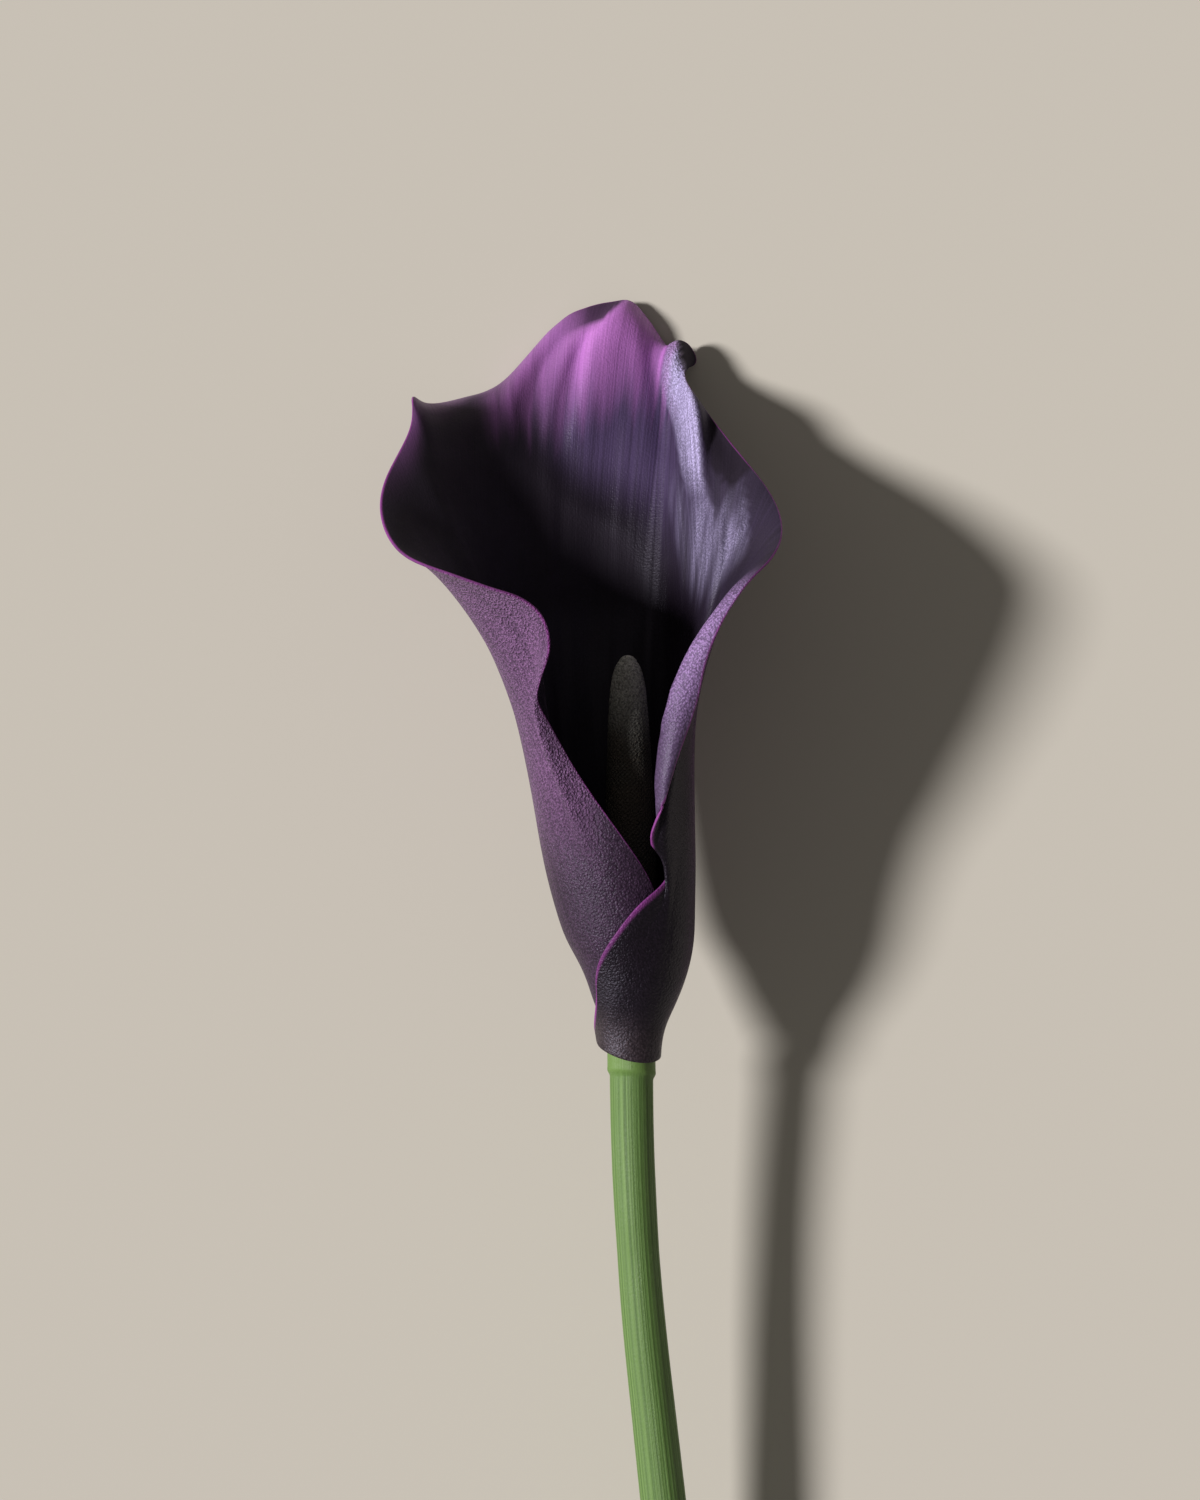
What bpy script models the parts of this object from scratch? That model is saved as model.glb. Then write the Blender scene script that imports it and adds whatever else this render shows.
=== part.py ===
"""Calla lily flower: one cut bloom laid on its back, with its mouth up and its stem toward -Y.

The shape is laid out in the flower's own frame, in millimetres: +X to the flower's right, +Y up along
the flower from the top of the stem, and +Z out of its mouth. Each object is then laid down on the
ground plane in metres.
"""
import math

import bmesh
import bpy
import numpy as np
from mathutils import Matrix, Vector

# ---------------------------------------------------------------- driving dimensions, in millimetres
MM = 0.001

SPATHE_THICKNESS = 0.8
LAYER_STEP = 1.7            # how far the rolled sheet moves outward in one turn
LEAVE_HEIGHT = 44.0         # highest place where a vein leaves the rolled tube
VEIN_SPREAD = 0.35          # least spread of the veins' ends, as a share of that at the base
MARGIN_STATIONS = 96        # steps round the margin
VEIN_STEPS = 20             # steps from the base ring to the margin

VIEW_CENTRE = (-5.1, 45.3)  # the margin's x and y are seen from a point over this place
VIEW_DISTANCE = 625.0

STEM_LENGTH = 168.0
STEM_TOP_X = -0.38
STEM_BEND_LENGTH = 48.0     # the stem bends over this length, then runs straight
STEM_LEAN = 0.11            # sideways slope of the straight part
STEM_SAG = 0.00006          # backward bow, by the square of the distance down the stem
STEM_SIDES = 28
STEM_RINGS = 40
STEM_RADII = ((0.0, 3.62), (2.6, 3.66), (3.4, 3.4), (4.6, 3.2), (30.0, 3.16), (67.0, 3.45), (168.0, 4.2))
CUT_SLOPE = 0.45            # slant of the cut end

BASE_HEIGHT = 0.55          # the sheet's foot is cut on a plane that falls to the right and the front
BASE_SLOPE_X = 0.24
BASE_SLOPE_Z = 0.40
STEM_GAP = 0.5              # clear space between the stem's top and what stands on it

SPADIX_SIDES = 24
SPADIX_PROFILE = ((0.0, 1.55), (6.0, 2.1), (14.0, 3.4), (26.0, 3.8), (36.0, 3.5), (46.0, 2.95), (52.0, 2.5),
                  (55.5, 1.9), (58.0, 1.1), (59.3, 0.0))
SPADIX_AXIS = ((0.0, -0.45), (17.0, -0.5), (33.0, -0.75), (59.0, -1.05))

REST_PITCH = math.radians(4.95)    # about X: the stem's end comes down to the ground
REST_ROLL = math.radians(0.5)     # about Y
REST_PLACE = (7.93, 25.8, 20.71)  # puts the origin under the middle of the laid flower

# Rolled tube: height, centre x, centre z, half width, half depth.
TRUNK = np.array((
    (-2.0, -0.30, 0.0, 3.4, 3.3),
    (1.0, -0.40, 0.0, 3.65, 3.5),
    (4.0, -0.30, -0.1, 4.2, 3.9),
    (7.0, -0.25, -0.2, 5.5, 5.1),
    (10.0, -0.15, -0.3, 6.7, 6.2),
    (13.0, -0.30, -0.4, 7.8, 7.1),
    (17.0, -1.00, -0.5, 9.2, 8.4),
    (21.0, -1.65, -0.6, 10.0, 9.2),
    (27.0, -2.40, -0.7, 10.85, 10.0),
    (38.0, -3.50, -1.1, 11.8, 10.9),
    (50.0, -4.70, -1.8, 13.1, 12.3),
    (60.0, -5.50, -3.0, 14.6, 14.1),
    (75.0, -6.00, -5.0, 17.3, 16.8),
    (115.0, -6.50, -10.0, 21.0, 21.0),
))

# Margin of the sheet, from the foot of its left edge over the tip to the foot of its right edge:
# angle at the base ring (0 is the front, negative goes round by the left side and the back),
# x, y, z, the direction in which the sheet reaches the margin (x, y, z),
# and how free it is there (0 rolled on the tube, 1 free).
MARGIN = np.array((
    # left edge, rolled inside
    (60, 2.4, 3.0, 2.4, 1, 4, 0, 0),
    (53, 3.5, 7.0, 3.6, 1, 5, 0, 0),
    (47, 4.7, 12.5, 5.2, 1, 6, 0, 0),
    (40, 4.4, 18.5, 6.8, 1, 6, 0, 0),
    (32, 2.9, 24.6, 8.2, 1, 6, 0, 0),
    (22, 0.4, 29.2, 8.9, 3, 7, 0, 0),
    (13, -4.0, 35.4, 9.4, 4, 8, 0, 0.05),
    (5, -7.7, 40.6, 9.9, 4, 8, 0, 0.2),
    (-4, -11.2, 45.8, 10.6, 4, 8, 0.5, 0.45),
    (-13, -14.0, 50.6, 11.6, 5, 7, 1, 0.75),
    (-20, -14.8, 53.4, 12.4, 7, 7, 2, 0.9),
    # left lobe
    (-29, -13.2, 58.0, 14.4, 10, 6, 4, 1),
    (-35, -12.6, 61.8, 16.0, 10, 5, 6, 1),
    (-41, -14.0, 65.7, 17.3, 6, 4, 9, 1),
    (-47, -17.3, 68.2, 18.0, 0, 3, 12, 1),
    (-52, -21.0, 69.4, 17.6, -6, 2, 13, 1),
    (-58, -28.0, 71.8, 15.0, -12, 2, 12, 1),
    (-64, -34.2, 74.3, 11.0, -18, 2, 8, 1),
    (-70, -37.2, 77.8, 6.5, -22, 4, 4, 1),
    (-78, -38.1, 82.6, 0.5, -24, 8, 0, 1),
    (-87, -36.4, 88.0, -5.0, -22, 14, -6, 1),
    (-98, -33.4, 94.6, -10.5, -16, 16, -12, 1),
    (-104, -33.2, 98.2, -13.5, -14, 16, -12, 1),
    (-109, -31.6, 97.4, -18.0, -8, 12, -20, 1),
    # back lobe and tip
    (-117, -26.0, 97.8, -25.4, -4, 8, -23, 1),
    (-127, -20.2, 99.6, -29.2, 0, 6, -24, 1),
    (-138, -16.0, 104.0, -29.9, 2, 6, -23, 1),
    (-150, -11.4, 109.2, -30.0, 3, 6, -22, 1),
    (-163, -6.6, 111.9, -29.8, 2, 2, -22, 1),
    (-174, -2.8, 112.0, -29.8, 0, -1, -22, 1),
    (-184, 0.4, 110.8, -29.8, -1, -2, -22, 1),
    (-194, 3.2, 107.8, -29.8, -1, -2, -22, 1),
    (-201, 5.2, 105.9, -29.4, 2, 0, -20, 1),
    # small curled corner
    (-207, 6.6, 106.6, -27.6, 4, 4, -16, 1),
    (-213, 8.2, 106.2, -28.6, 10, 0, -16, 1),
    (-219, 9.3, 104.5, -29.8, 12, -2, -17, 1),
    (-225, 8.9, 102.9, -28.6, 12, -2, -16, 1),
    (-231, 7.8, 101.2, -24.4, 9, 6, -12, 1),
    # right lobe
    (-237, 9.2, 98.6, -18.0, 9, 10, -8, 1),
    (-243, 12.0, 94.8, -12.4, 12, 12, -4, 1),
    (-250, 16.8, 88.8, -6.0, 17, 12, -4, 1),
    (-258, 20.9, 83.0, -0.8, 20, 10, -2, 1),
    (-266, 22.3, 78.2, 4.0, 20, 5, 0, 1),
    (-275, 20.8, 74.0, 8.5, 17, 2, 2, 1),
    (-285, 16.6, 69.4, 12.4, 14, 0, 3, 1),
    (-295, 13.0, 63.8, 14.4, 13, -1, 1, 1),
    (-306, 10.8, 58.2, 14.6, 14, -1, -3, 1),
    (-317, 9.7, 53.4, 14.0, 13, 0, -5, 1),
    (-329, 8.1, 48.4, 13.2, 11, 2, -4, 1),
    # right edge, rolled outside
    (-341, 6.0, 42.4, 12.6, 8, 4, -3, 0.85),
    (-351, 4.2, 36.4, 12.2, 3, 5, -1, 0.6),
    (-359, 2.8, 31.6, 12.0, 0, 4, 1, 0.35),
    (-367, 4.4, 29.8, 11.6, 0, 4, 0, 0.15),
    (-375, 5.2, 27.4, 11.4, 0, 4, 0, 0.05),
    (-383, 4.6, 25.4, 11.2, -1, 3, 0, 0),
    (-393, 1.2, 22.4, 11.0, -2, 2, 0, 0),
    (-404, -2.4, 18.2, 10.2, -3, 2, 0, 0),
    (-414, -4.9, 14.2, 8.2, -3, 1, -2, 0),
    (-422, -5.55, 11.2, 6.4, -2, 1, -2, 0),
    (-429, -5.4, 8.6, 5.6, -2, 1, -2, 0),
    (-436, -5.5, 5.6, 3.8, -1.5, 1, -1, 0),
    (-441, -5.3, 3.2, 2.6, -1, 0.5, -1, 0),
), dtype=float)


# ---------------------------------------------------------------- curves through given points
def spline(knots, rows, at):
    """Natural cubic spline through the rows, one row for each knot, read at the given places."""
    count = len(knots)
    step = np.diff(knots)
    matrix = np.eye(count)
    right = np.zeros(rows.shape)
    inner = np.arange(1, count - 1)
    matrix[inner, inner - 1] = step[:-1]
    matrix[inner, inner] = 2 * (step[:-1] + step[1:])
    matrix[inner, inner + 1] = step[1:]
    right[1:-1] = 6 * np.diff(np.diff(rows, axis=0) / step[:, None], axis=0)
    curvature = np.linalg.solve(matrix, right)
    at = np.asarray(at, dtype=float)
    flat = at.ravel()
    k = np.clip(np.searchsorted(knots, flat, side="right") - 1, 0, count - 2)
    h = step[k][:, None]
    before = (knots[k + 1] - flat)[:, None] / h
    after = 1 - before
    bend = (before ** 3 - before) * curvature[k] + (after ** 3 - after) * curvature[k + 1]
    out = before * rows[k] + after * rows[k + 1] + bend * h ** 2 / 6
    return out.reshape(at.shape + (rows.shape[1],))


def table(pairs, at):
    """Straight-line reading of a short table of (place, value) pairs."""
    places, values = np.array(pairs, dtype=float).T
    return np.interp(at, places, values)


# ---------------------------------------------------------------- the spathe's sheet
def trunk_sizes(height):
    """Centre x, centre z, half width and half depth of the rolled tube at a height."""
    low, high = TRUNK[0, 0], TRUNK[-1, 0]
    sizes = spline(TRUNK[:, 0], TRUNK[:, 1:], np.clip(height, low, high))
    return sizes[..., 0], sizes[..., 1], sizes[..., 2], sizes[..., 3]


def on_trunk(angle, height):
    """Point of the rolled sheet at an angle in degrees: later turns lie further out."""
    centre_x, centre_z, half_width, half_depth = trunk_sizes(height)
    turn = np.radians(angle)
    layer = LAYER_STEP * (-180 - angle) / 360
    x = centre_x + (half_width + layer) * np.sin(turn)
    z = centre_z + (half_depth + layer) * np.cos(turn)
    return np.stack([x, height, z], axis=-1)


def base_ring_height(angle):
    """Height of the sheet's foot at an angle, on the sloping plane of its base."""
    ring = on_trunk(angle, np.full(angle.shape, BASE_HEIGHT))
    return BASE_HEIGHT - BASE_SLOPE_X * ring[:, 0] - BASE_SLOPE_Z * ring[:, 2]


def margin_stations(count):
    """Margin read at equal steps of a knot value that grows slower along its long plain stretches."""
    rows = MARGIN.copy()
    nearer = (VIEW_DISTANCE - rows[:, 3]) / VIEW_DISTANCE
    rows[:, 1] = VIEW_CENTRE[0] + (rows[:, 1] - VIEW_CENTRE[0]) * nearer
    rows[:, 2] = VIEW_CENTRE[1] + (rows[:, 2] - VIEW_CENTRE[1]) * nearer
    gaps = np.linalg.norm(np.diff(rows[:, 1:4], axis=0), axis=1)
    knots = np.concatenate([[0], np.cumsum(np.sqrt(gaps))])
    at = np.linspace(0, knots[-1], count)
    points = spline(knots, rows[:, 1:4], at)
    others = np.stack([np.interp(at, knots, rows[:, c]) for c in (0, 4, 5, 6, 7)], axis=1)
    return points, others[:, 0], others[:, 1:4], others[:, 4]


def evenly(path, count):
    """Each row of points, read again at equal lengths along it."""
    length = np.linalg.norm(np.diff(path, axis=1), axis=2)
    length = np.concatenate([np.zeros((len(path), 1)), np.cumsum(length, axis=1)], axis=1)
    share = np.linspace(0, 1, count)
    out = np.empty((len(path), count, 3))
    for row, points in enumerate(path):
        for axis in range(3):
            out[row, :, axis] = np.interp(share * length[row, -1], length[row], points[:, axis])
    return out


def margin_angles(margin, root, free):
    """Angle of each margin point about the tube: read from its x where the sheet is rolled."""
    centre_x, centre_z, half_width, half_depth = trunk_sizes(margin[:, 1])
    turns = np.where(root < -180, -360, 0)
    layer = LAYER_STEP * (-180 - turns) / 360
    side = np.clip((margin[:, 0] - centre_x) / (half_width + layer), -1, 1)
    rolled = np.degrees(np.arcsin(side)) + turns
    turn = np.arctan2((margin[:, 0] - centre_x) / half_width, (margin[:, 2] - centre_z) / half_depth)
    loose = np.degrees(np.unwrap(turn))
    loose += 360 * np.round((rolled[0] - loose[0]) / 360)
    return rolled * (1 - free) + loose * free


def clear_angles(end_angle, root):
    """For each vein the angle that keeps it clear of the margin below its end and of its neighbours."""
    apart = end_angle - VEIN_SPREAD * root
    left = np.minimum.accumulate(apart)
    right = np.maximum.accumulate(apart[::-1])[::-1]
    return np.where(root > -180, left, right) + VEIN_SPREAD * root


def climb(root, foot, clear, top, part, steps):
    """Vein paths on the tube as far as a part of their height: they turn quickly, then run straight."""
    share = np.linspace(0, 1, steps)[None, :] * part[:, None]
    height = foot[:, None] + (top - foot)[:, None] * share
    return root[:, None] + (clear - root)[:, None] * np.sin(share * math.pi / 2), height


def rolled_paths(root, foot, clear, end_angle, margin, steps):
    """Vein paths that stay on the tube up to the clear angle, then turn to the margin."""
    angle, height = climb(root, foot, clear, margin[:, 1], np.ones(len(root)), steps)
    share = np.linspace(0, 1, steps)[None, :]
    return on_trunk(angle + (end_angle - clear)[:, None] * share ** 14, height)


def free_paths(root, foot, clear, margin, direction, steps):
    """Vein paths that climb the tube, the long ones turning less, then leave it and curve to the margin."""
    leave = np.minimum(foot + 0.62 * (margin[:, 1] - foot), LEAVE_HEIGHT)
    part = (leave - foot) / (margin[:, 1] - foot)
    held = root + (clear - root) * np.minimum(1, part / 0.62) ** 1.5
    low = on_trunk(*climb(root, foot, held, margin[:, 1], part, steps))
    start = low[:, -1]
    along = start - low[:, -2]
    chord = np.linalg.norm(margin - start, axis=1, keepdims=True)
    along *= 1.1 * chord / np.linalg.norm(along, axis=1, keepdims=True)
    k = np.linspace(0, 1, steps)[None, :, None]
    high = ((2 * k ** 3 - 3 * k ** 2 + 1) * start[:, None] + (k ** 3 - 2 * k ** 2 + k) * along[:, None]
            + (3 * k ** 2 - 2 * k ** 3) * margin[:, None] + (k ** 3 - k ** 2) * direction[:, None])
    return np.concatenate([low, high[:, 1:]], axis=1)


def spathe_sheet():
    """Grid of points on the middle of the sheet: stations round the margin by steps up the veins."""
    margin, root, direction, free = margin_stations(MARGIN_STATIONS)
    foot = base_ring_height(root)
    end_angle = margin_angles(margin, root, free)
    clear = clear_angles(end_angle, root)
    rolled = evenly(rolled_paths(root, foot, clear, end_angle, margin, 60), VEIN_STEPS)
    loose = evenly(free_paths(root, foot, clear, margin, direction, 60), VEIN_STEPS)
    weight = free[:, None, None]
    return rolled * (1 - weight) + loose * weight


# ---------------------------------------------------------------- Blender objects
def clear_scene():
    for item in list(bpy.data.objects):
        bpy.data.objects.remove(item, do_unlink=True)


def rest_transform():
    """From the flower's frame in millimetres to the flower lying on the ground, in metres."""
    turn = Matrix.Rotation(REST_PITCH, 4, "X") @ Matrix.Rotation(REST_ROLL, 4, "Y")
    return Matrix.Scale(MM, 4) @ Matrix.Translation(REST_PLACE) @ turn


def plain_material(name, colour, roughness):
    material = bpy.data.materials.new(name)
    material.use_nodes = True
    shader = material.node_tree.nodes["Principled BSDF"]
    shader.inputs["Base Color"].default_value = (*colour, 1)
    shader.inputs["Roughness"].default_value = roughness
    shader.inputs["Metallic"].default_value = 0
    material.diffuse_color = (*colour, 1)
    return material


def finish_object(name, shape, material):
    """Object made of a bmesh in the flower's frame, laid down on the ground."""
    bmesh.ops.recalc_face_normals(shape, faces=shape.faces)
    shape.transform(rest_transform())
    mesh = bpy.data.meshes.new(name)
    shape.to_mesh(mesh)
    shape.free()
    mesh.shade_smooth()
    mesh.set_sharp_from_angle(angle=math.radians(40))
    mesh.materials.append(material)
    item = bpy.data.objects.new(name, mesh)
    bpy.context.scene.collection.objects.link(item)
    return item


def cut_by_plane(shape, point, normal):
    """Cut a closed shape by a plane, drop the side that the normal points to and close the cut."""
    everything = shape.verts[:] + shape.edges[:] + shape.faces[:]
    cut = bmesh.ops.bisect_plane(shape, geom=everything, plane_co=point, plane_no=normal, clear_outer=True)
    edges = [part for part in cut["geom_cut"] if isinstance(part, bmesh.types.BMEdge)]
    bmesh.ops.contextual_create(shape, geom=edges)


def tube(centres, radii, sides):
    """Closed tube from a poly curve with a round bevel, filled caps and a radius at each point."""
    curve = bpy.data.curves.new("guide", "CURVE")
    curve.dimensions = "3D"
    curve.bevel_depth = 1.0
    curve.bevel_resolution = sides // 2 - 2
    curve.use_fill_caps = True
    line = curve.splines.new("POLY")
    line.points.add(len(centres) - 1)
    for point, centre, radius in zip(line.points, centres, radii):
        point.co = (*centre, 1)
        point.radius = radius
    guide = bpy.data.objects.new("guide", curve)
    mesh = bpy.data.meshes.new_from_object(guide)
    shape = bmesh.new()
    shape.from_mesh(mesh)
    bpy.data.objects.remove(guide)
    bpy.data.curves.remove(curve)
    bpy.data.meshes.remove(mesh)
    bmesh.ops.remove_doubles(shape, verts=shape.verts, dist=0.0001)
    return shape


def base_plane_normal():
    """Upward normal of the plane through the sheet's foot."""
    return Vector((BASE_SLOPE_X, 1, BASE_SLOPE_Z)).normalized()


def make_spathe():
    sheet = spathe_sheet()
    shape = bmesh.new()
    rows = [[shape.verts.new(point) for point in row] for row in sheet.tolist()]
    for row, after in zip(rows, rows[1:]):
        for k in range(VEIN_STEPS - 1):
            shape.faces.new((row[k], row[k + 1], after[k + 1], after[k]))
    bmesh.ops.triangulate(shape, faces=shape.faces)
    spathe = finish_object("spathe", shape, plain_material("dark_purple_petal", (0.06, 0.02, 0.07), 0.45))
    wall = spathe.modifiers.new("wall", "SOLIDIFY")
    wall.thickness = SPATHE_THICKNESS * MM
    wall.offset = 0
    return spathe


def make_stem():
    down = np.linspace(-3.0, STEM_LENGTH + 4.0, STEM_RINGS)
    down = np.sort(np.concatenate([down, (0.5, 2.6, 3.4, 4.6)]))
    bent = np.clip(down, 0, STEM_BEND_LENGTH)
    x = STEM_TOP_X + STEM_LEAN * (bent ** 2 / (2 * STEM_BEND_LENGTH) + np.maximum(down - STEM_BEND_LENGTH, 0))
    z = -STEM_SAG * down ** 2
    shape = tube(np.stack([x, -down, z], axis=1).tolist(), table(STEM_RADII, down), STEM_SIDES)
    up = base_plane_normal()
    cut_by_plane(shape, Vector((0, BASE_HEIGHT, 0)) - up * STEM_GAP, up)
    cut_by_plane(shape, (x[-1], -STEM_LENGTH, z[-1]), Vector((CUT_SLOPE, -1, 0.2)))
    return finish_object("stem", shape, plain_material("green_stem", (0.22, 0.38, 0.12), 0.5))


def make_spadix():
    height, radius = np.array(SPADIX_PROFILE).T
    steps = np.linspace(-2.0, height[-1], 22)
    radii = np.maximum(spline(height, radius[:, None], np.maximum(steps, 0))[:, 0], 0.25)
    centres = np.stack([table(SPADIX_AXIS, steps), steps, np.zeros_like(steps)], axis=1)
    shape = tube(centres.tolist(), radii, SPADIX_SIDES)
    up = base_plane_normal()
    cut_by_plane(shape, Vector((0, BASE_HEIGHT, 0)), -up)
    return finish_object("spadix", shape, plain_material("dark_spadix", (0.05, 0.045, 0.035), 0.8))


def main():
    clear_scene()
    make_stem()
    make_spathe()
    make_spadix()


main()
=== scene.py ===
import math

import bpy
import numpy as np
from mathutils import Matrix, Vector


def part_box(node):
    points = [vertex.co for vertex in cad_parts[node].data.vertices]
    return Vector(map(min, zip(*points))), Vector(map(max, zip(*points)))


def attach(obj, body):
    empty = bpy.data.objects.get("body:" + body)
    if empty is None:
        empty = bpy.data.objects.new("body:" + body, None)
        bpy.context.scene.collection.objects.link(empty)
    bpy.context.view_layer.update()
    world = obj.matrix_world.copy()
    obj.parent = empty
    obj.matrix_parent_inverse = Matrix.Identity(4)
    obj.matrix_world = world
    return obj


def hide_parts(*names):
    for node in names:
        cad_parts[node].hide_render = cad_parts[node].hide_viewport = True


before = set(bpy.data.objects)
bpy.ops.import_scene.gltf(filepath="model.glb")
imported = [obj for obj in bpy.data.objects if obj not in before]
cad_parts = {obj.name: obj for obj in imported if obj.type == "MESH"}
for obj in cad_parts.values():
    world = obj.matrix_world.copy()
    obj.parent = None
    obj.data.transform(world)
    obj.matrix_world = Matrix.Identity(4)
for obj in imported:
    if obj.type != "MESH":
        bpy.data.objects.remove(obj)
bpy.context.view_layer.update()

# The flower's own frame is in millimetres: x to its right, y up along it from the top of the stem,
# z out of its mouth. Laid down, it is turned a little so that its back lobe and stem rest on the floor.
rest = {
    "pitch": math.radians(4.95),
    "roll": math.radians(0.5),
    "place": (7.93, 25.8, 20.71),
}
layDown = (Matrix.Scale(0.001, 4) @ Matrix.Translation(rest["place"])
           @ Matrix.Rotation(rest["pitch"], 4, "X") @ Matrix.Rotation(rest["roll"], 4, "Y"))
laidTurn = layDown.to_3x3().normalized()

# The laid pieces match the frame's box: its longest side runs along y.
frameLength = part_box("spathe")[1][1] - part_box("stem")[0][1]
print(f"frame loaded, {frameLength * 1000:.1f} mm long")


def splineThrough(knots, rows, at):
    # natural cubic spline: the second derivatives solve a three-band system, ends are left straight
    count = len(knots)
    step = np.diff(knots)
    bands = np.eye(count)
    right = np.zeros(rows.shape)
    inner = np.arange(1, count - 1)
    bands[inner, inner - 1] = step[:-1]
    bands[inner, inner] = 2 * (step[:-1] + step[1:])
    bands[inner, inner + 1] = step[1:]
    right[1:-1] = 6 * np.diff(np.diff(rows, axis=0) / step[:, None], axis=0)
    curvature = np.linalg.solve(bands, right)
    flat = np.asarray(at, dtype=float).ravel()
    k = np.clip(np.searchsorted(knots, flat, side="right") - 1, 0, count - 2)
    h = step[k][:, None]
    before = (knots[k + 1] - flat)[:, None] / h
    after = 1 - before
    bend = (before ** 3 - before) * curvature[k] + (after ** 3 - after) * curvature[k + 1]
    out = before * rows[k] + after * rows[k + 1] + bend * h ** 2 / 6
    return out.reshape(np.shape(at) + (rows.shape[1],))


def readTable(pairs, at):
    # straight lines between the (place, value) pairs
    places, values = np.array(pairs, dtype=float).T
    return np.interp(at, places, values)


def smoothStep(low, high, value):
    # 0 below low, 1 above high, 3t^2 - 2t^3 between them
    t = np.clip((value - low) / (high - low), 0, 1)
    return t * t * (3 - 2 * t)


def hill(distance, width):
    # bell curve: e to the minus (distance / width) squared
    return np.exp(-(distance / width) ** 2)


def softNoise(a, b, seed, octaves=5):
    # sum of octaves of crossed sines with turned directions, about -1 to 1
    rng = np.random.default_rng(seed)
    total = np.zeros(np.broadcast(a, b).shape)
    size = 1.0
    for octave in range(octaves):
        turn = rng.uniform(0, 2 * math.pi, 4)
        u = a * math.cos(turn[0]) + b * math.sin(turn[0])
        w = b * math.cos(turn[1]) - a * math.sin(turn[1])
        total += size * np.sin(u + turn[2] + 1.3 * np.sin(w * 0.7 + turn[3])) * np.cos(w + turn[3])
        a = a * 1.93
        b = b * 1.93
        size *= 0.55
    return total


def surfaceNormals(grid):
    # cross product of the two grid directions, made one long
    along = np.gradient(grid, axis=0)
    up = np.gradient(grid, axis=1)
    normal = np.cross(along, up)
    return normal / np.maximum(np.linalg.norm(normal, axis=2, keepdims=True), 1e-12)


def turnsAround(count):
    return np.linspace(0, 2 * math.pi, count, endpoint=False)


def gridFaces(index, closed=False):
    # four corners of every cell of a grid of vertex numbers; closed joins its last row to its first
    if closed:
        index = np.concatenate([index, index[:1]], axis=0)
    a, b, c, d = index[:-1, :-1], index[1:, :-1], index[1:, 1:], index[:-1, 1:]
    return np.stack([a, b, c, d], axis=-1).reshape(-1, 4)


def placeObject(name, data):
    item = bpy.data.objects.new(name, data)
    bpy.context.scene.collection.objects.link(item)
    return item


def makePiece(name, points, quads, triangles, values, uv):
    # points in the flower's millimetres are laid down and put into one mesh object
    laid = np.array(layDown)
    world = points @ laid[:3, :3].T + laid[:3, 3]
    mesh = bpy.data.meshes.new(name)
    mesh.from_pydata(world.astype(np.float32), [], quads.tolist() + triangles.tolist())
    corners = np.concatenate([quads.ravel(), triangles.ravel()])
    layer = mesh.uv_layers.new(name="grow")
    layer.data.foreach_set("uv", uv[corners].ravel().astype(np.float32))
    for key, value in values.items():
        attribute = mesh.attributes.new(key, "FLOAT", "POINT")
        attribute.data.foreach_set("value", value.astype(np.float32))
    mesh.validate()
    mesh.shade_smooth()
    print(f"{name}: {2 * len(quads) + len(triangles)} triangles")
    return placeObject(name, mesh)


spathe = {
    "stations": 430,            # steps round the margin
    "steps": 96,                # steps up each vein
    "layerStep": 1.7,           # mm that the rolled sheet moves outward in one turn
    "leaveHeight": 44.0,        # highest place where a vein leaves the rolled tube
    "leaveShare": 0.62,         # and its share of the way to the margin, where that is lower
    "veinSpread": 0.35,         # least share of its root's angle that each vein keeps from the next
    "pathPoints": 90,
    "calmWidth": 15,            # stations over which the free margin is calmed
    "calmReach": 9.0,           # mm from the margin where its own turns come back
    "evenWidth": 7,             # stations over which crowded veins are evened
    "broadSwell": 0.22,         # mm, as is the next
    "pleatSwell": 0.06,
    "tongues": 24,              # waves of the orchid's edge in a radian of the roots
    "tongueLength": 2.6,
    "pleats": 34,               # the same for the painted sheen on the lobe
    "pleatShade": 0.85,
    "gapShade": 0.55,
    "noiseAlong": 0.05,
    "viewCentre": (-5.1, 45.3),
    "viewDistance": 625.0,
    "baseHeight": 0.55,
    "baseSlopeX": 0.24,
    "baseSlopeZ": 0.40,
    "edgeThickness": 0.44,      # mm, as are the next two
    "wallThickness": 0.78,
    "footThickness": 1.0,
}

# rolled tube: height, centre x, centre z, half width, half depth
trunk = np.array((
    (-2, -0.3, 0, 3.4, 3.3), (1, -0.4, 0, 3.65, 3.5), (4, -0.3, -0.1, 4.2, 3.9),
    (7, -0.25, -0.2, 5.5, 5.1), (10, -0.15, -0.3, 6.7, 6.2), (13, -0.3, -0.4, 7.8, 7.1),
    (17, -1, -0.5, 9.2, 8.4), (21, -1.65, -0.6, 10, 9.2), (27, -2.4, -0.7, 10.85, 10),
    (38, -3.5, -1.1, 11.8, 10.9), (50, -4.7, -1.8, 13.1, 12.3), (60, -5.5, -3, 14.6, 14.1),
    (75, -6, -5, 17.3, 16.8), (115, -6.5, -10, 21, 21),
), dtype=float)

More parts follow.
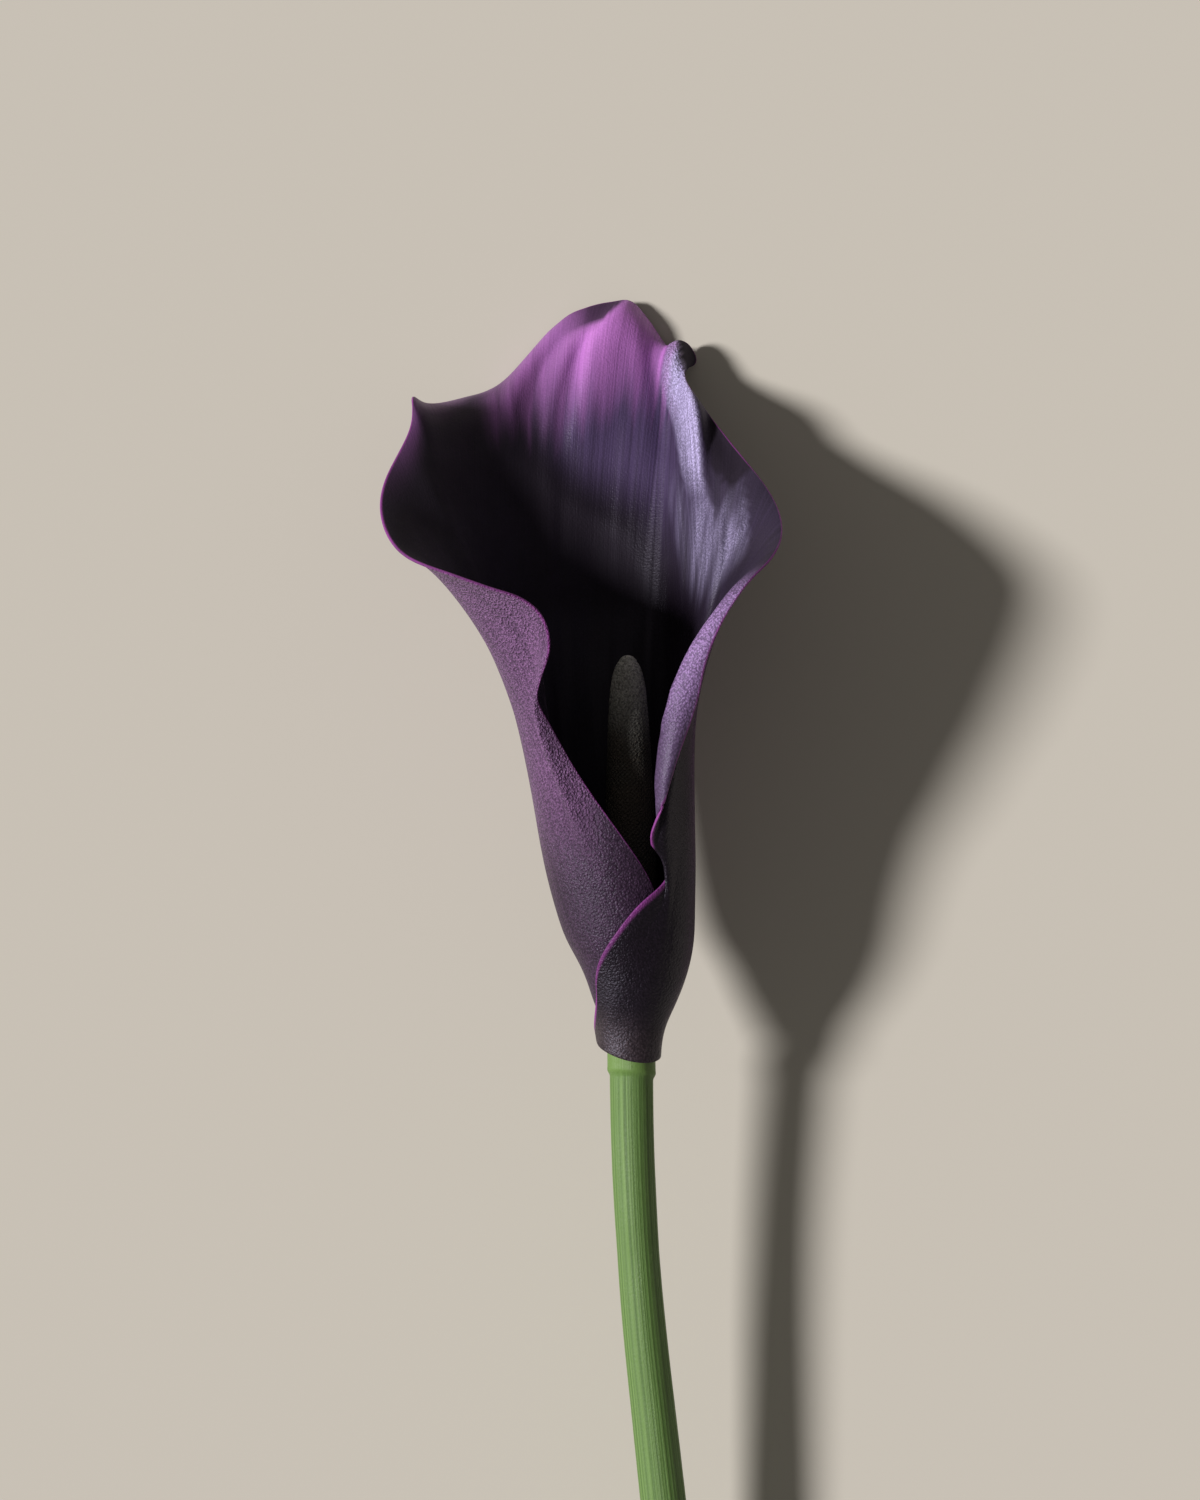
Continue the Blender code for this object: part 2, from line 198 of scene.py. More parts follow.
# margin from the foot of the left edge over the tip to the foot of the right edge: angle at the foot,
# x, y, z, the sheet's direction there (x, y, z), and 0 where it is rolled up to 1 where it is free
margin = np.array((
    (60, 2.4, 3, 2.4, 1, 4, 0, 0),
    (53, 3.5, 7, 3.6, 1, 5, 0, 0),
    (47, 4.7, 12.5, 5.2, 1, 6, 0, 0),
    (40, 4.4, 18.5, 6.8, 1, 6, 0, 0),
    (32, 2.9, 24.6, 8.2, 1, 6, 0, 0),
    (22, 0.4, 29.2, 8.9, 3, 7, 0, 0),
    (13, -4, 35.4, 9.7, 4, 8, 0, 0.05),
    (5, -7.7, 40.6, 10.6, 4, 8, 0, 0.2),
    (-4, -11.2, 45.8, 12.1, 4, 8, 0.5, 0.45),
    (-13, -14, 50.6, 13.6, 5, 7, 1, 0.75),
    (-20, -14.8, 53.4, 14.6, 7, 7, 2, 0.9),
    (-29, -13.2, 58, 15.5, 10, 6, 4, 1),
    (-35, -12.6, 61.8, 15.6, 10, 5, 6, 1),
    (-41, -14, 65.7, 16.2, 6, 4, 9, 1),
    (-47, -17.3, 68.2, 16.9, 0, 3, 12, 1),
    (-52, -21, 69.4, 16.8, -6, 2, 13, 1),
    (-58, -28, 71.8, 15, -12, 2, 12, 1),
    (-64, -34.2, 74.3, 11, -18, 2, 8, 1),
    (-70, -37.2, 77.8, 6.5, -22, 4, 4, 1),
    (-78, -38.1, 82.6, 0.5, -24, 8, 0, 1),
    (-87, -36.4, 88, -5, -22, 14, -6, 1),
    (-98, -33.4, 94.6, -10.5, -16, 16, -12, 1),
    (-104, -33.2, 98.2, -13.5, -14, 16, -12, 1),
    (-109, -31.6, 97.4, -18, -8, 12, -20, 1),
    (-117, -26, 97.8, -25.4, -4, 8, -23, 1),
    (-127, -20.2, 99.6, -29.2, 0, 6, -24, 1),
    (-138, -16, 104, -29.9, 2, 6, -23, 1),
    (-150, -11.4, 109.2, -30, 3, 6, -22, 1),
    (-163, -6.6, 111.9, -29.8, 2, 2, -22, 1),
    (-171, -3, 112.4, -29.8, 0, -1, -22, 1),
    (-177, -0.5, 112.5, -29.8, 0, -1, -22, 1),
    (-182, 1, 111.1, -29.8, -1, -2, -22, 1),
    (-188, 2.9, 108.4, -29.8, -1, -2, -22, 1),
    (-195, 5, 105.2, -29.6, -1, -2, -22, 1),
    (-201, 5.8, 105.6, -28.8, 2, 0, -20, 1),
    (-206, 6.5, 106.2, -28.6, 4, 2, -18, 1),
    (-211, 8.2, 105.9, -29.4, 8, 0, -18, 1),
    (-217, 9.1, 104.3, -29.8, 10, -2, -18, 1),
    (-222, 9, 103.2, -29.2, 12, -2, -16, 1),
    (-227, 7.8, 102.6, -27.4, 11, 2, -14, 1),
    (-232, 7.6, 100.9, -24, 9, 6, -12, 1),
    (-238, 9, 98.4, -18, 9, 10, -8, 1),
    (-243, 12, 94.8, -12.4, 12, 12, -4, 1),
    (-250, 16.8, 88.8, -6, 17, 12, -4, 1),
    (-258, 20.9, 83, -0.8, 20, 10, -2, 1),
    (-266, 22.3, 78.2, 4, 20, 5, 0, 1),
    (-275, 20.8, 74, 8.5, 17, 2, 2, 1),
    (-285, 16.6, 69.4, 12.4, 14, 0, 3, 1),
    (-295, 13, 63.8, 14.4, 13, -1, 1, 1),
    (-306, 10.8, 58.2, 14.6, 14, -1, -3, 1),
    (-317, 9.7, 53.4, 14, 13, 0, -5, 1),
    (-329, 8.1, 48.4, 13.2, 11, 2, -4, 1),
    (-341, 6, 42.4, 12.6, 8, 4, -3, 1),
    (-351, 4.2, 36.4, 12.2, 3, 5, -1, 0.9),
    (-359, 2.8, 31.6, 12, 0, 4, 1, 0.5),
    (-367, 4.4, 29.8, 11.6, 0, 4, 0, 0.1),
    (-375, 5.2, 27.4, 11.4, 0, 4, 0, 0),
    (-383, 4.6, 25.4, 11.2, -1, 3, 0, 0),
    (-393, 1.2, 22.4, 11, -2, 2, 0, 0),
    (-404, -2.4, 18.2, 10.2, -3, 2, 0, 0),
    (-414, -4.9, 14.2, 8.2, -3, 1, -2, 0),
    (-422, -5.55, 11.2, 6.4, -2, 1, -2, 0),
    (-429, -5.4, 8.6, 5.6, -2, 1, -2, 0),
    (-436, -5.5, 5.6, 3.8, -1.5, 1, -1, 0),
    (-441, -5.3, 3.2, 2.6, -1, 0.5, -1, 0),
), dtype=float)


def trunkSizes(height):
    sizes = splineThrough(trunk[:, 0], trunk[:, 1:], np.clip(height, trunk[0, 0], trunk[-1, 0]))
    return np.moveaxis(sizes, -1, 0)


def onTrunk(angle, height):
    # ellipse about the tube's centre, its radii grown by the layer, which rises by one step in a turn
    centreX, centreZ, halfWidth, halfDepth = trunkSizes(height)
    turn = np.radians(angle)
    layer = spathe["layerStep"] * (-180 - angle) / 360
    x = centreX + (halfWidth + layer) * np.sin(turn)
    z = centreZ + (halfDepth + layer) * np.cos(turn)
    return np.stack([x, height, z], axis=-1)


def footHeight(angle):
    # the foot lies on a plane that falls to the right and to the front
    ring = onTrunk(angle, np.full(angle.shape, spathe["baseHeight"]))
    return spathe["baseHeight"] - spathe["baseSlopeX"] * ring[:, 0] - spathe["baseSlopeZ"] * ring[:, 2]


def marginStations(count):
    # x and y are drawn toward the view's centre by the share (distance - z) / distance
    rows = margin.copy()
    nearer = (spathe["viewDistance"] - rows[:, 3:4]) / spathe["viewDistance"]
    rows[:, 1:3] = spathe["viewCentre"] + (rows[:, 1:3] - spathe["viewCentre"]) * nearer
    gaps = np.linalg.norm(np.diff(rows[:, 1:4], axis=0), axis=1)
    knots = np.concatenate([[0], np.cumsum(np.sqrt(gaps))])
    at = np.linspace(0, knots[-1], count)
    points = splineThrough(knots, rows[:, 1:4], at)
    others = np.stack([np.interp(at, knots, rows[:, c]) for c in (0, 4, 5, 6, 7)], axis=1)
    return points, others[:, 0], others[:, 1:4], others[:, 4]


def marginAngles(edge, root, free):
    centreX, centreZ, halfWidth, halfDepth = trunkSizes(edge[:, 1])
    turns = np.where(root < -180, -360, 0)
    layer = spathe["layerStep"] * (-180 - turns) / 360
    side = np.clip((edge[:, 0] - centreX) / (halfWidth + layer), -1, 1)
    rolled = np.degrees(np.arcsin(side)) + turns
    turn = np.arctan2((edge[:, 0] - centreX) / halfWidth, (edge[:, 2] - centreZ) / halfDepth)
    loose = np.degrees(np.unwrap(turn))
    loose += 360 * np.round((rolled[0] - loose[0]) / 360)
    return rolled * (1 - free) + loose * free


def clearAngles(endAngle, root):
    # running minimum from the left and running maximum from the right keep each vein off its neighbours
    apart = endAngle - spathe["veinSpread"] * root
    left = np.minimum.accumulate(apart)
    right = np.maximum.accumulate(apart[::-1])[::-1]
    return np.where(root > -180, left, right) + spathe["veinSpread"] * root


def climb(root, foot, clear, top, part, steps):
    # the angle goes from root to clear as the sine of the climbed share
    share = np.linspace(0, 1, steps)[None, :] * part[:, None]
    height = foot[:, None] + (top - foot)[:, None] * share
    return root[:, None] + (clear - root)[:, None] * np.sin(share * math.pi / 2), height


def rolledPaths(root, foot, clear, endAngle, edge, steps):
    angle, height = climb(root, foot, clear, edge[:, 1], np.ones(len(root)), steps)
    share = np.linspace(0, 1, steps)[None, :]
    return onTrunk(angle + (endAngle - clear)[:, None] * share ** 14, height)


def freePaths(root, foot, clear, edge, direction, steps):
    # up the tube first, then a cubic from its end to the margin with a given direction at both ends
    rise = edge[:, 1] - foot
    part = (np.minimum(foot + spathe["leaveShare"] * rise, spathe["leaveHeight"]) - foot) / rise
    held = root + (clear - root) * np.minimum(1, part / spathe["leaveShare"]) ** 1.5
    low = onTrunk(*climb(root, foot, held, edge[:, 1], part, steps))
    start = low[:, -1]
    along = start - low[:, -2]
    chord = np.linalg.norm(edge - start, axis=1, keepdims=True)
    along = along * 1.1 * chord / np.linalg.norm(along, axis=1, keepdims=True)
    k = np.linspace(0, 1, steps)[None, :, None]
    high = ((2 * k ** 3 - 3 * k ** 2 + 1) * start[:, None] + (k ** 3 - 2 * k ** 2 + k) * along[:, None]
            + (3 * k ** 2 - 2 * k ** 3) * edge[:, None] + (k ** 3 - k ** 2) * direction[:, None])
    return np.concatenate([low, high[:, 1:]], axis=1)


def averaged(rows, width):
    # mean of each row's neighbourhood, weighed by a bell curve of how far off its rows are
    place = np.arange(len(rows))
    weight = hill(place[:, None] - place[None, :], width)
    return np.tensordot(weight / weight.sum(axis=1, keepdims=True), rows, axes=(1, 0))


def pathLengths(paths):
    steps = np.linalg.norm(np.diff(paths, axis=1), axis=2)
    return np.concatenate([np.zeros((len(paths), 1)), np.cumsum(steps, axis=1)], axis=1)


def readPaths(paths, share):
    # every row is read at its own shares of its length; rows are kept apart by adding twice their number
    length = pathLengths(paths)
    apart = 2.0 * np.arange(len(paths))[:, None]
    known = (length / length[:, -1:] + apart).ravel()
    wanted = (share + apart).ravel()
    columns = [np.interp(wanted, known, paths[..., axis].ravel()) for axis in range(3)]
    return np.stack(columns, axis=-1).reshape(share.shape + (3,))


rimSteps = np.array((0.9, 0.6, 0.4, 0.26, 0.16, 0.09, 0.04, 0.01, 0.0))   # mm from the margin


def spatheSheet():
    edge, root, direction, free = marginStations(spathe["stations"])
    foot = footHeight(root)
    endAngle = marginAngles(edge, root, free)
    clear = clearAngles(endAngle, root)
    rolled = rolledPaths(root, foot, clear, endAngle, edge, spathe["pathPoints"])
    # the body of the free lobes follows a calmed margin; the margin's own turns come back near it
    calm = smoothStep(-80, -98, root) * smoothStep(-262, -244, root)
    calmEdge = edge + (averaged(edge, spathe["calmWidth"]) - edge) * calm[:, None]
    calmDirection = direction + (averaged(direction, spathe["calmWidth"]) - direction) * calm[:, None]
    loose = freePaths(root, foot, clear, calmEdge, calmDirection, spathe["pathPoints"])
    away = pathLengths(loose)
    near = np.clip(1 - (away[:, -1:] - away) / spathe["calmReach"], 0, 1) ** 2
    loose = loose + (edge - calmEdge)[:, None] * near[..., None]
    length = pathLengths(rolled)[:, -1] * (1 - free) + pathLengths(loose)[:, -1] * free
    body = np.linspace(0, 1, spathe["steps"])[None, :] * (1 - 1.3 / length)[:, None]
    rim = 1 - rimSteps[None, :] / length[:, None]
    share = np.concatenate([body, rim], axis=1)
    weight = free[:, None, None]
    sheet = readPaths(rolled, share) * (1 - weight) + readPaths(loose, share) * weight
    # the veins that crowd below the notch are evened out, but for the band along the margin
    even = averaged(sheet, spathe["evenWidth"])
    crowded = (smoothStep(-335, -350, root) * smoothStep(-408, -385, root))[:, None]
    crowded = crowded * smoothStep(0.8, 5, (1 - share) * length[:, None]) * smoothStep(0, 0.1, share)
    sheet = sheet + (even - sheet) * crowded[..., None]
    return sheet, root, share, length


# folds of the sheet, toward the viewer where the height is above 0: how far the sides of each reach to
# the left and to the right of its line, then x, y and height along that line
folds = (
    (0.8, 5.5, ((-0.9, 112.6, 1.2), (-2.1, 111.4, 2.2), (-3.5, 110.2, 2.5), (-4.8, 108.7, 2.4),
     (-5.8, 106.8, 2.1), (-6.6, 104.6, 1.9), (-7.3, 101.6, 1.6), (-8.2, 98, 1.2), (-9, 94, 0.8),
     (-9.8, 88, 0))),
    (1.2, 0.9, ((-6.6, 110.1, 0), (-9, 108.9, -0.8), (-11.2, 106.1, -1.2), (-13, 103.8, -1.1),
     (-14.5, 100.5, -0.8), (-15.6, 96, -0.3), (-16.2, 91, 0))),
    (1, 0.8, ((-7.6, 107.9, 0.3), (-9.9, 105.3, 0.7), (-11.1, 102, 0.7), (-12.1, 98.1, 0.5), (-13, 90, 0))),
    (1.3, 1, ((-14.6, 105.5, 0.4), (-17.2, 101.5, 0.7), (-18.6, 96.5, 0.6), (-19.2, 88, 0))),
    (1.4, 1.8, ((2.2, 110.2, 0), (2.6, 106, -0.7), (2.8, 102.3, -0.8), (3.2, 97.8, -0.7), (3.9, 92.5, -0.4),
     (4.6, 84, 0))),
    (2.2, 1.1, ((6.3, 107.2, 1.8), (6.6, 104.8, 2.8), (7.1, 102.6, 3.2), (8, 100.2, 3.4), (9, 97.2, 3.4),
     (9.35, 94.7, 3.2), (9.5, 92.6, 3), (9.8, 89.6, 2.4), (10.1, 86.4, 1.7), (10.9, 83.6, 1.1),
     (11.8, 81.2, 0.7), (12.2, 77.5, 0.3), (11.9, 71, 0))),
    (0.5, 3, ((6, 106.4, 0.8), (5.2, 104, 1.1), (4.9, 101.9, 1.2), (5.2, 99.6, 1.2), (5.8, 97.2, 1.1),
     (6.5, 94.4, 0.9), (7.2, 91.8, 0.6), (8, 88.4, 0))),
    (1.8, 2.6, ((11, 97, -0.6), (12.6, 93.8, -1.6), (14, 90.6, -1.9), (15.2, 87.6, -1.2), (16.2, 84, 0))),
    (1, 0.6, ((5, 90, 0), (5.9, 86.4, 0.5), (6.9, 80, 0.7), (7.4, 74, 0.6), (7, 66, 0.3), (5, 58, 0))),
    (1.3, 0.6, ((12.4, 83, 0), (13.2, 79, 0.9), (13, 73.5, 0.9), (11.2, 66, 0.6), (8.6, 59, 0))),
    (1.2, 0.6, ((14.9, 83.2, 0), (16, 79, 0.8), (15.8, 74, 0.7), (13.8, 68.5, 0.3), (11.5, 64, 0))),
    (0.9, 0.5, ((8.2, 86, 0), (9.4, 79.5, 0.6), (9.9, 73, 0.6), (9.2, 66, 0.4), (7.2, 59, 0))),
    (1, 1.3, ((-33, 97.8, 0.6), (-31.2, 94, 0.6), (-30.2, 88, 0))),
)

# lines that bound the colours: the tip's fold, the crest of the fold at the right that carries painted sheen,
# the left limit of that painted sheen, the painted sheen on the lobe below it with the painted shade of its
# pleats, and the edge of the painted shadow on the back
colourLines = {
    "tip": folds[0][2],
    "crest": folds[5][2],
    "sheen": ((5.9, 107), (4.7, 104), (4.4, 102), (4.6, 100), (5.1, 98), (5.8, 95.8), (6.5, 93),
              (6.9, 90.8), (7.3, 87.6), (8.1, 83.8), (9.1, 80), (9.6, 76)),
    "lobeSheenLeft": ((4.9, 88), (5, 83.8), (5.4, 81), (6.2, 76.9), (6.9, 72.8), (7.1, 67.4), (7, 62)),
    "lobeSheenRight": ((16.4, 86), (16.6, 84.3), (16.8, 82.1), (17.1, 79.4), (17.4, 76.9), (17, 74.8),
                   (15.1, 72), (11.8, 67)),
    "tongueLeft": ((14.4, 84.6), (14, 83.5), (12.9, 81), (12.4, 77.8), (12.2, 74.2)),
    "tongueGap": ((15.1, 84.6), (15.4, 82), (15.9, 78.8)),
    "litFrom": ((-26, 98.5), (-18.5, 90.5), (-10.5, 83), (-1.5, 78), (3, 70), (5.2, 62)),
}

# how low the painted shadow in the pocket reaches at each x
hollowFloor = ((9.5, 90.5), (12.3, 86.3), (14.5, 84), (16.2, 85.1), (17.8, 86.4), (20, 86.6))

# the spathe's colours: a strength, then soft steps; every step names its measure, the value where the
# colour starts, the value where it is full, and the share that is left before it, which is 0 if unsaid
colourBands = {
    "beyond": (1, ("crest", -0.3, 0.3), ("root", -185, -200)),
    "blush": (1, ("blushRise", 90, 106), ("x", -29, -17), ("x", -12, -5, 0.62)),
    "blushMargin": (0.3, ("edge", 6, 0), ("x", -20, -28), ("y", 80, 92)),
    # painted sheen on the fold at the right
    "strip": (1, ("sheen", -0.3, 0.3), ("crest", 0.3, -0.2), ("root", -185, -200), ("sheen", 0.4, 1.6, 0.55),
              ("y", 80, 90)),
    # painted sheen on the lobe below the fold, parted by painted shade in the pleats
    "lobeSheen": (0.34, ("lobeSheenLeft", -0.3, 0.8), ("lobeSheenRight", 0.5, -0.3), ("raggedRise", 67, 77),
              ("raggedEnd", 88, 82), ("x", 8, 10.5, 0.45)),
    "pleat": (1, ("crest", 0, 0.5), ("tongueLeft", 0.3, -0.3), ("y", 74, 78)),
    # painted shade: the pocket's shadow, the dim sheet round it, the sheet behind the fold, the turned top of
    # the margin, the upper left corner and the unlit side of the throat
    "hollow": (1, ("crest", 0.5, 1.8), ("floor", -0.8, 1.2), ("root", -185, -200), ("slanted", 97, 94)),
    "dusk": (0.6, ("crest", 0.1, 0.7), ("root", -185, -200), ("y", 78, 84), ("y", 97, 93)),
    "behind": (1, ("crest", 0, 0.3), ("y", 99, 101), ("root", -185, -200)),
    "turned": (1, ("tip", 0, -0.6), ("x", -12.5, -6), ("edge", 5.6, 3.6), ("y", 105, 107)),
    "corner": (0.6, ("x", -19, -25), ("y", 82, 92), ("edge", 1, 3.5)),
    "throat": (0.7, ("litFrom", 1.5, -2.5), ("y", 96, 86), ("y", 63, 69)),
    # the paler band of the rolled lip, partly painted light where the lip is lit
    "lipEnds": (1, ("root", -276, -290), ("root", -362, -350)),
    # slate only where the back is lit: litFrom is a painted shadow edge, and the slate dims lower down and at
    # the right
    "slateWhereLit": (1, ("litFrom", 0.5, 9.5), ("x", -18, -8), ("x", 7, 4, 0.6), ("y", 70, 90, 0.22)),
    # darker from the left flap round the back, and nearly black on the right flap, which is painted shade on
    # the side turned from the light
    "darkLeft": (0.55, ("root", -40, -100)),
    "darkRight": (0.45, ("root", -250, -320)),
    "darkFoot": (0.84, ("y", 48, 23)),
    # painted shadow on the left flap under the right flap's margin
    "darkFlap": (0.85, ("x", -12, -3), ("y", 46, 34), ("root", -40, -20)),
}


def seenFromAbove(points):
    # x and y where the line from the view's point through each place meets z = 0
    farther = spathe["viewDistance"] / (spathe["viewDistance"] - points[..., 2:])
    return np.moveaxis(spathe["viewCentre"] + (points[..., :2] - spathe["viewCentre"]) * farther, -1, 0)


def lineSide(x, y, line):
    # distance to a broken line, above 0 on its right as it is followed downward and below 0 on its left,
    # and the nearest place on it, counted in points
    line = np.array(line)
    start, step = line[:-1, :2], np.diff(line[:, :2], axis=0)
    offset = np.stack([x, y], axis=-1)[..., None, :] - start
    share = np.clip((offset * step).sum(-1) / (step ** 2).sum(-1), 0, 1)
    distance = np.linalg.norm(offset - share[..., None] * step, axis=-1)
    cross = step[:, 0] * offset[..., 1] - step[:, 1] * offset[..., 0]
    nearest = distance.argmin(axis=-1)[..., None]
    distance, cross, share = [np.take_along_axis(grid, nearest, axis=-1)[..., 0]
                              for grid in (distance, cross, share)]
    return distance * np.where(cross < 0, -1, 1), nearest[..., 0] + share


def foldHeights(x, y, left, right, line):
    # height at the nearest place on the line, times a bell curve of the distance on that side
    side, place = lineSide(x, y, line)
    heights = np.array(line)[:, 2]
    return np.interp(place, np.arange(len(heights)), heights) * hill(side, np.where(side < 0, left, right))


# the lip that rolls over at the lower right margin: root, how far it bulges, distance from the edge
# and half width
lipRoll = np.array((
    (-280, 0, 3, 2), (-290, 0.5, 3.2, 2), (-299, 1.4, 3.8, 2.2), (-309, 2.2, 4.6, 2.3),
    (-319, 2.6, 4.8, 2.3), (-329, 2.4, 4.1, 2.1), (-338, 2, 3.6, 1.9), (-346, 1.3, 2.8, 1.6),
    (-353, 0.5, 2, 1.3), (-359, 0, 1.6, 1),
))


def lipShape(root):
    return [np.interp(-root, -lipRoll[:, 0], column)[:, None] for column in lipRoll[:, 1:].T]


def foldedSheet(sheet, root, fromEdge, fromFoot):
    x, y = seenFromAbove(sheet)
    lift = sum(foldHeights(x, y, *fold) for fold in folds)
    lift = lift * (smoothStep(-70, -95, root) * smoothStep(-325, -300, root))[:, None]
    # broad uneven swells and pleats that follow the growth lines, then the roll of the lip
    turn = np.radians(root)[:, None]
    swell = spathe["broadSwell"] * softNoise(turn * 5.5, fromFoot * 0.028, 4, 2)
    swell = swell + spathe["pleatSwell"] * softNoise(turn * 17, fromFoot * 0.03, 9, 2)
    swell = swell * smoothStep(20, 60, fromFoot)
    swell = swell * (smoothStep(-60, -90, root) * smoothStep(-330, -290, root))[:, None]
    bulge, middle, width = lipShape(root)
    swell = swell + bulge * hill(fromEdge - middle, width)
    moved = sheet + surfaceNormals(sheet) * swell[..., None]
    moved[..., 2] += lift
    return moved, x, y


def colourBand(name, at):
    # strength times the product of its soft steps
    strength, *steps = colourBands[name]
    for measure, start, full, *least in steps:
        left = sum(least)
        strength = strength * (left + (1 - left) * smoothStep(start, full, at[measure]))
    return strength


def largest(*fields):
    return np.maximum.reduce(np.broadcast_arrays(*fields))


def spatheFields(x, y, root, fromEdge, fromFoot):
    turn = np.radians(root)[:, None]
    along = fromFoot * spathe["noiseAlong"]
    tongues = spathe["tongueLength"] * softNoise(turn * spathe["tongues"], along, 14)
    fine = softNoise(turn * spathe["pleats"], along, 2)
    at = {name: lineSide(x, y, line)[0] for name, line in colourLines.items()}
    at.update({
        "x": x, "y": y, "root": root[:, None], "edge": fromEdge,
        "blushRise": y + tongues - 3.5 * smoothStep(-9, -4, x),
        "raggedRise": y + fine * 1.5,
        "raggedEnd": y + fine * 2,
        "floor": y - readTable(hollowFloor, x) + fine * 0.6,
        "slanted": y - 0.5 * (x - 11),
    })
    band = {name: colourBand(name, at) for name in colourBands}
    # orchid toward the tip and a trace of it at the left margin
    blush = largest(band["blush"], band["blushMargin"]) * (1 - band["strip"]) * (1 - band["beyond"])
    # painted sheen on the fold, and on the lobe below it in tongues parted by painted shade in the pleats
    pleat = largest(band["pleat"], spathe["gapShade"] * hill(at["tongueGap"], 0.8))
    lobeSheen = band["lobeSheen"] * (0.8 + 0.5 * fine) * (1 - spathe["pleatShade"] * pleat)
    # painted shade: the shadow in the pocket with the dimmer sheet round it, the sheet that shows behind the
    # fold at the right, the turned top of the margin, the corner at the upper left, and the unlit side of the
    # throat
    outer = band["behind"] + band["turned"] * (root > -182)[:, None] + band["corner"]
    shade = largest(band["hollow"], band["dusk"], outer, band["throat"])
    # the rolled band along the lower right margin, a paler lining that is partly painted light where the
    # rolled lip is lit
    middle, width = lipShape(root)[1:]
    lip = smoothStep(middle + width, middle + 0.4 * width, fromEdge) * band["lipEnds"]
    # outside: from the purple left flap to the nearly black right flap and foot; the right flap's darkness is
    # painted shade
    dark = np.clip(largest(band["darkLeft"] + band["darkRight"], band["darkFoot"]), 0, 1)
    return {
        "blush": blush,
        "paintedSheen": np.clip(largest(band["strip"], lobeSheen), 0, 1),
        "slateWhereLit": band["slateWhereLit"],
        # with painted shade behind the fold and painted shadow on the left flap under the right flap's margin
        "dark": largest(dark, band["darkFlap"], band["behind"]),
        "lip": lip * (0.28 + 0.66 * smoothStep(44, 60, y)),
        "shade": np.clip(shade, 0, 1),
    }


def sheetThickness(fromEdge, fromFoot):
    edge, wall, foot = spathe["edgeThickness"], spathe["wallThickness"], spathe["footThickness"]
    thick = edge + (wall - edge) * smoothStep(0, 14, fromEdge) + (foot - wall) * smoothStep(12, 2, fromFoot)
    # the margin is rounded: half the thickness falls to 0 there as a quarter of a circle
    half = thick / 2
    return half * np.sqrt(1 - np.clip(1 - fromEdge / half, 0, 1) ** 2)


def buildSpathe():
    sheet, root, share, length = spatheSheet()
    fromEdge = (1 - share) * length[:, None]
    fromFoot = share * length[:, None]
    sheet, x, y = foldedSheet(sheet, root, fromEdge, fromFoot)
    offset = surfaceNormals(sheet) * sheetThickness(fromEdge, fromFoot)[..., None]
    # the inner and the outer face share the points of the margin
    rows, columns = share.shape
    count = rows * columns
    inner = np.arange(count).reshape(rows, columns)
    outer = np.concatenate([count + np.arange(rows * (columns - 1)).reshape(rows, -1), inner[:, -1:]], axis=1)
    points = np.concatenate([(sheet + offset).reshape(-1, 3), (sheet - offset)[:, :-1].reshape(-1, 3)])
    foot = np.stack([outer[:, 0], inner[:, 0]], axis=1)
    firstSide = np.stack([inner[0, :-1], outer[0, :-1]], axis=1)
    lastSide = np.stack([outer[-1, :-1], inner[-1, :-1]], axis=1)
    quads = np.concatenate([gridFaces(inner), gridFaces(outer)[:, ::-1], gridFaces(foot),
                            gridFaces(firstSide), gridFaces(lastSide)])
    corners = np.array(((outer[0, -2], inner[0, -2], inner[0, -1]),
                        (inner[-1, -2], outer[-1, -2], inner[-1, -1])))
    around = np.broadcast_to((root / 180 + 1)[:, None], share.shape) * (1 + 0.8 * share ** 2)
    # the coloured rim is wider low down on the right flap, and narrower round the right lobe
    broad = 0.6 * smoothStep(-349, -356, root)
    broad = broad - 1.2 * smoothStep(-225, -240, root) * smoothStep(-300, -280, root)
    fields = spatheFields(x, y, root, fromEdge, fromFoot)
    fields.update({"edge": fromEdge * (1 - broad)[:, None], "climb": fromFoot})
    values = {key: np.concatenate([field.ravel(), field[:, :-1].ravel()]) for key, field in fields.items()}
    values["inside"] = (np.arange(len(points)) < count).astype(float)
    grow = np.stack([around, fromFoot / 100], axis=-1)
    uv = np.concatenate([grow.reshape(-1, 2), grow[:, :-1].reshape(-1, 2)])
    return makePiece("spathe_sheet", points, quads, corners, values, uv)


spadix = {
    "columns": 150,
    "rows": 330,
    "floretsAround": 30,
    "floretHeight": 0.085,      # mm
    "unevenness": 0.07,         # mm
    "profile": ((0, 1.55), (6, 2.1), (14, 3.4), (26, 3.85), (36, 3.65), (46, 3.25), (52, 2.9),
                (55.5, 2.5), (57.4, 2.05), (58.7, 1.25), (59.6, 0)),
    "axis": ((-3, -0.4), (0, -0.45), (17, -0.45), (33, -0.55), (59, -0.95)),
    "foot": -1.0,
    "crowding": 1.35,
    "pitchRadius": 3.5,         # mm, radius at which the florets are as tall as they are wide
    "tipLength": 1.6,
    "tipRadius": 1.5,
    "setBack": 2.3,             # mm that its upper part stands back from the middle of the bloom
}


def tubePoints(centres, radii, turn):
    # rings round a path: the sine of the turn goes to its side and the cosine to its front
    tangent = np.gradient(centres, axis=0)
    tangent = tangent / np.linalg.norm(tangent, axis=1, keepdims=True)
    side = np.cross(tangent, (0.0, 0.0, 1.0))
    side = side / np.linalg.norm(side, axis=1, keepdims=True)
    front = np.cross(side, tangent)
    ring = np.sin(turn)[..., None] * side[None] + np.cos(turn)[..., None] * front[None]
    return centres[None] + ring * radii[..., None], tangent[-1]


